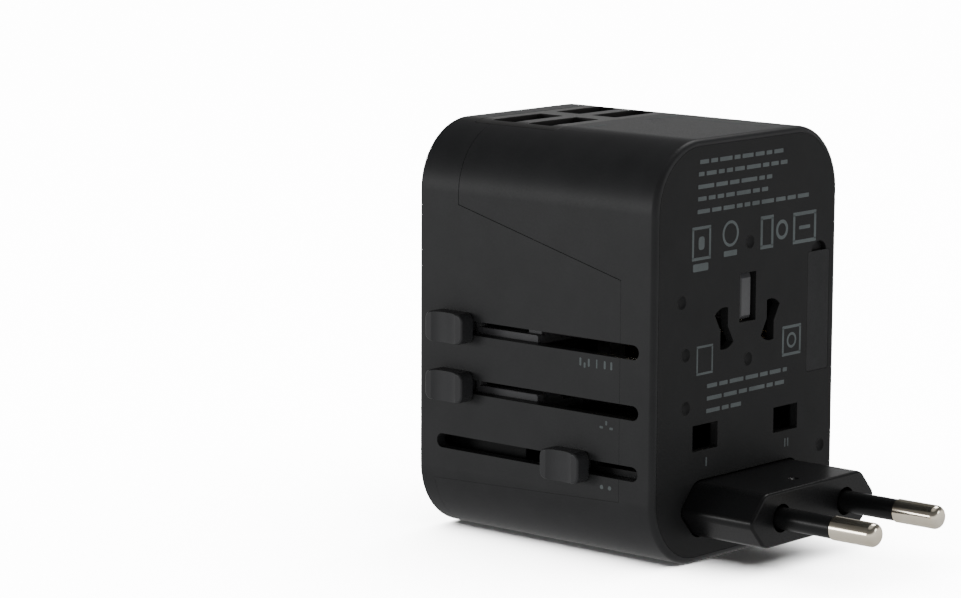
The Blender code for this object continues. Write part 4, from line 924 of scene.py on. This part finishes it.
def portShellShape(x, y, low, high):
    wide, tall = (s / 2 for s in ports["shell"])
    wall = ports["wall"]
    tube = cuboid((x - wide, x + wide), (y - tall, y + tall), (low, high), "z", 0.6 * mm, 4)
    steps = [("cut", cuboid(
        (x - wide + wall, x + wide - wall), (y - tall + wall, y + tall - wall),
        (low - 1 * mm, high + 1 * mm), "z", 0.3 * mm, 3,
    ))]
    # two latch windows in each broad wall, with a sprung leaf left in each
    for side in (-1, 1):
        for offset in ports["latches"]:
            face = y + side * tall
            span = sorted((face - side * 1.2 * mm, face + side * 0.5 * mm))
            window = (x + offset - 1.1 * mm, x + offset + 1.1 * mm)
            steps.append(("cut", cuboid(window, span, (high - 6.6 * mm, high - 2.2 * mm))))
    return carve(tube, *steps)


def portLeaf(x, y, side, high):
    # the leaf bows into the port
    tall = ports["shell"][1] / 2
    face = y + side * (tall - 0.1 * mm)
    line = [(0.0, -6.7), (0.0, -6.0), (0.35, -4.4), (0.42, -3.4), (0.2, -2.7)]
    bm = bmesh.new()
    row = [bm.verts.new((x - 0.9 * mm, face - side * inward * mm, high + z * mm)) for inward, z in line]
    edges = [bm.edges.new(pair) for pair in zip(row, row[1:])]
    grown = bmesh.ops.extrude_edge_only(bm, edges=edges)
    moved = [g for g in grown["geom"] if isinstance(g, bmesh.types.BMVert)]
    bmesh.ops.translate(bm, vec=(1.8 * mm, 0, 0), verts=moved)
    bmesh.ops.recalc_face_normals(bm, faces=bm.faces)
    bmesh.ops.solidify(bm, geom=bm.faces[:], thickness=0.12 * mm)
    return bm


def contactRow(x):
    count = ports["contacts"]
    return [x + (i - (count - 1) / 2) * ports["pitch"] for i in range(count)]


def tongueShape(node, x, y):
    low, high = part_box(node)
    rounding = 0.35 * mm
    base = cuboid((low.x, high.x), (low.y, high.y), (low.z, low.z + 2.4 * mm))
    tongue = ((x - 5.5 * mm, x + 5.5 * mm), (y + 0.1 * mm, y + 2.0 * mm), (low.z + 2 * mm, high.z))
    blade = cuboid(*tongue, "z", rounding, 2)
    roundEnd(blade, 2, 1, rounding, 3)
    steps = [("add", blade)]
    for cx in contactRow(x):
        groove = (cx - 0.65 * mm, cx + 0.65 * mm)
        deep = (y - 0.4 * mm, y + 0.32 * mm)
        steps.append(("cut", cuboid(groove, deep, (low.z + 3 * mm, high.z - 0.7 * mm))))
    return carve(base, *steps)


def contactsShape(node, x, y):
    low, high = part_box(node)
    shapes = []
    for cx in contactRow(x):
        width = (cx - 0.5 * mm, cx + 0.5 * mm)
        thickness = (y + 0.14 * mm, y + 0.3 * mm)
        strip = cuboid(width, thickness, (low.z + 3.1 * mm, high.z - 0.85 * mm))
        roundEnd(strip, 2, 1, 0.05 * mm, 2)
        shapes.append(strip)
    return merge(*shapes)


for number, x, y in portCentres():
    node = f"usb_shell_{number}"
    low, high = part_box(node)
    shell = asPiece(f"usbShell{number}", portShellShape(x, y, low.z, high.z), "nickel", "housing", (node,))
    soften(shell, 0.08 * mm)
    leaves = [portLeaf(x + offset, y, side, high.z) for side in (-1, 1) for offset in ports["latches"]]
    soften(asPiece(f"usbLeaves{number}", merge(*leaves), "nickel", "housing"), 0.0)
    node = f"usb_tongue_{number}"
    tongue = asPiece(f"usbTongue{number}", tongueShape(node, x, y), "port_plastic", "housing", (node,))
    soften(tongue, 0.06 * mm)
    strips = contactsShape(node, x, y)
    soften(asPiece(f"usbContacts{number}", strips, "brass", "housing", material=goldPlate), 0.0)
print("USB block built")


# inside parts keep their CAD solids
inside = {
    "chassis": "grey_plastic", "usb_board": "board_green", "board_screw_left": "steel",
    "board_screw_right": "steel", "transformer": "dark_ferrite", "capacitor_1": "can_blue",
    "capacitor_2": "can_blue",
    "live_contact": "brass", "neutral_contact": "brass", "live_blade_contact": "brass",
    "neutral_blade_contact": "brass", "live_rail": "brass", "neutral_rail": "brass",
    "fuse_contact_low": "brass", "fuse_contact_high": "brass",
    "button_spring": "steel", "shutter_spring": "steel",
}
for node, slot in inside.items():
    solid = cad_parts[node]
    solid.data.materials.clear()
    solid.data.materials.append(finishes[slot])
    solid.data.shade_smooth()
    solid.data.set_sharp_from_angle(angle=math.radians(35))
print("inside parts finished")


camera = {
    "at": (-476.12 * mm, -385.94 * mm, 139.22 * mm),
    "right": (0.66181, -0.74966, 0.0048),
    "down": (-0.11674, -0.10939, -0.98712),
    "lens": 135.1,
}
lens = bpy.data.cameras.new("camera")
lens.lens = camera["lens"]
lens.sensor_width = 36.0
lens.clip_start = 0.01
lens.clip_end = 20.0
eye = bpy.data.objects.new("camera", lens)
bpy.context.scene.collection.objects.link(eye)
right = Vector(camera["right"]).normalized()
up = -Vector(camera["down"])
up = (up - right * up.dot(right)).normalized()
back = right.cross(up)
eye.matrix_world = Matrix.Translation(camera["at"]) @ Matrix((right, up, back)).transposed().to_4x4()
bpy.context.scene.camera = eye

floorMesh = bmesh.new()
bmesh.ops.create_grid(floorMesh, x_segments=1, y_segments=1, size=4.0)
mesh = bpy.data.meshes.new("floor")
floorMesh.to_mesh(mesh)
floorMesh.free()
floor = bpy.data.objects.new("floor", mesh)
bpy.context.scene.collection.objects.link(floor)
floorMaterial, nodes, links, shader = newMaterial("floorPaper")
shader.inputs["Base Color"].default_value = (0.9, 0.9, 0.9, 1.0)
shader.inputs["Roughness"].default_value = 0.9
shader.inputs["Specular IOR Level"].default_value = 0.1
floor.data.materials.append(floorMaterial)
floor.visible_glossy = False
floor.visible_diffuse = False

# soft surroundings: bright round the horizon, dimmer half way up
surroundings = {
    "strength": 1.0,
    "tones": ((-1.0, 0.6), (-0.3, 0.72), (0.0, 0.95), (0.16, 0.75), (0.32, 0.16), (0.8, 0.08), (1.0, 0.5)),
}
world = bpy.data.worlds.new("studio")
bpy.context.scene.world = world
world.use_nodes = True
nodes, links = world.node_tree.nodes, world.node_tree.links
direction = nodes.new("ShaderNodeTexCoord")
parts = nodes.new("ShaderNodeSeparateXYZ")
ramp = nodes.new("ShaderNodeValToRGB")
links.new(direction.outputs["Generated"], parts.inputs["Vector"])
height = spread(nodes, links, parts.outputs["Z"], 0.0, 1.0, -1.0, 1.0)
links.new(height, ramp.inputs["Fac"])
while len(ramp.color_ramp.elements) < len(surroundings["tones"]):
    ramp.color_ramp.elements.new(0.5)
for stop, (rise, tone) in zip(ramp.color_ramp.elements, surroundings["tones"]):
    stop.position = (rise + 1.0) / 2
    stop.color = (tone, tone, tone, 1.0)
links.new(ramp.outputs["Color"], nodes["Background"].inputs["Color"])
nodes["Background"].inputs["Strength"].default_value = surroundings["strength"]


def softbox(name, at, aim, size, power):
    light = bpy.data.lights.new(name, "AREA")
    light.shape = "RECTANGLE"
    light.size, light.size_y = size
    light.energy = power
    lamp = bpy.data.objects.new(name, light)
    lamp.location = at
    lamp.rotation_euler = (Vector(aim) - Vector(at)).to_track_quat("-Z", "Y").to_euler()
    bpy.context.scene.collection.objects.link(lamp)


lights = {  # place, aim, size, power
    "topBox": ((0.45, 0.0, 0.75), (0, 0, 0.05), (0.4, 0.4), 3.0),
    "leftBox": ((-0.85, 0.55, 0.12), (0, 0, 0.04), (0.4, 0.2), 2.1),
    "frontBox": ((0.5, -0.9, 0.3), (0, 0, 0.03), (0.3, 0.3), 0.95),
}
for name, settings in lights.items():
    softbox(name, *settings)

# one wide light keeps the paper white and leaves the object alone
paper = {"energy": 50.0, "spread": math.radians(125), "from": (0.16, 0.1, 0.98)}
paperLight = bpy.data.lights.new("paperLight", "SUN")
paperLight.energy = paper["energy"]
paperLight.angle = paper["spread"]
paperLamp = bpy.data.objects.new("paperLight", paperLight)
paperLamp.rotation_euler = Vector(paper["from"]).to_track_quat("Z", "Y").to_euler()
bpy.context.scene.collection.objects.link(paperLamp)
paperOnly = bpy.data.collections.new("paperOnly")
paperOnly.objects.link(floor)
paperLamp.light_linking.receiver_collection = paperOnly
print("camera and light set")
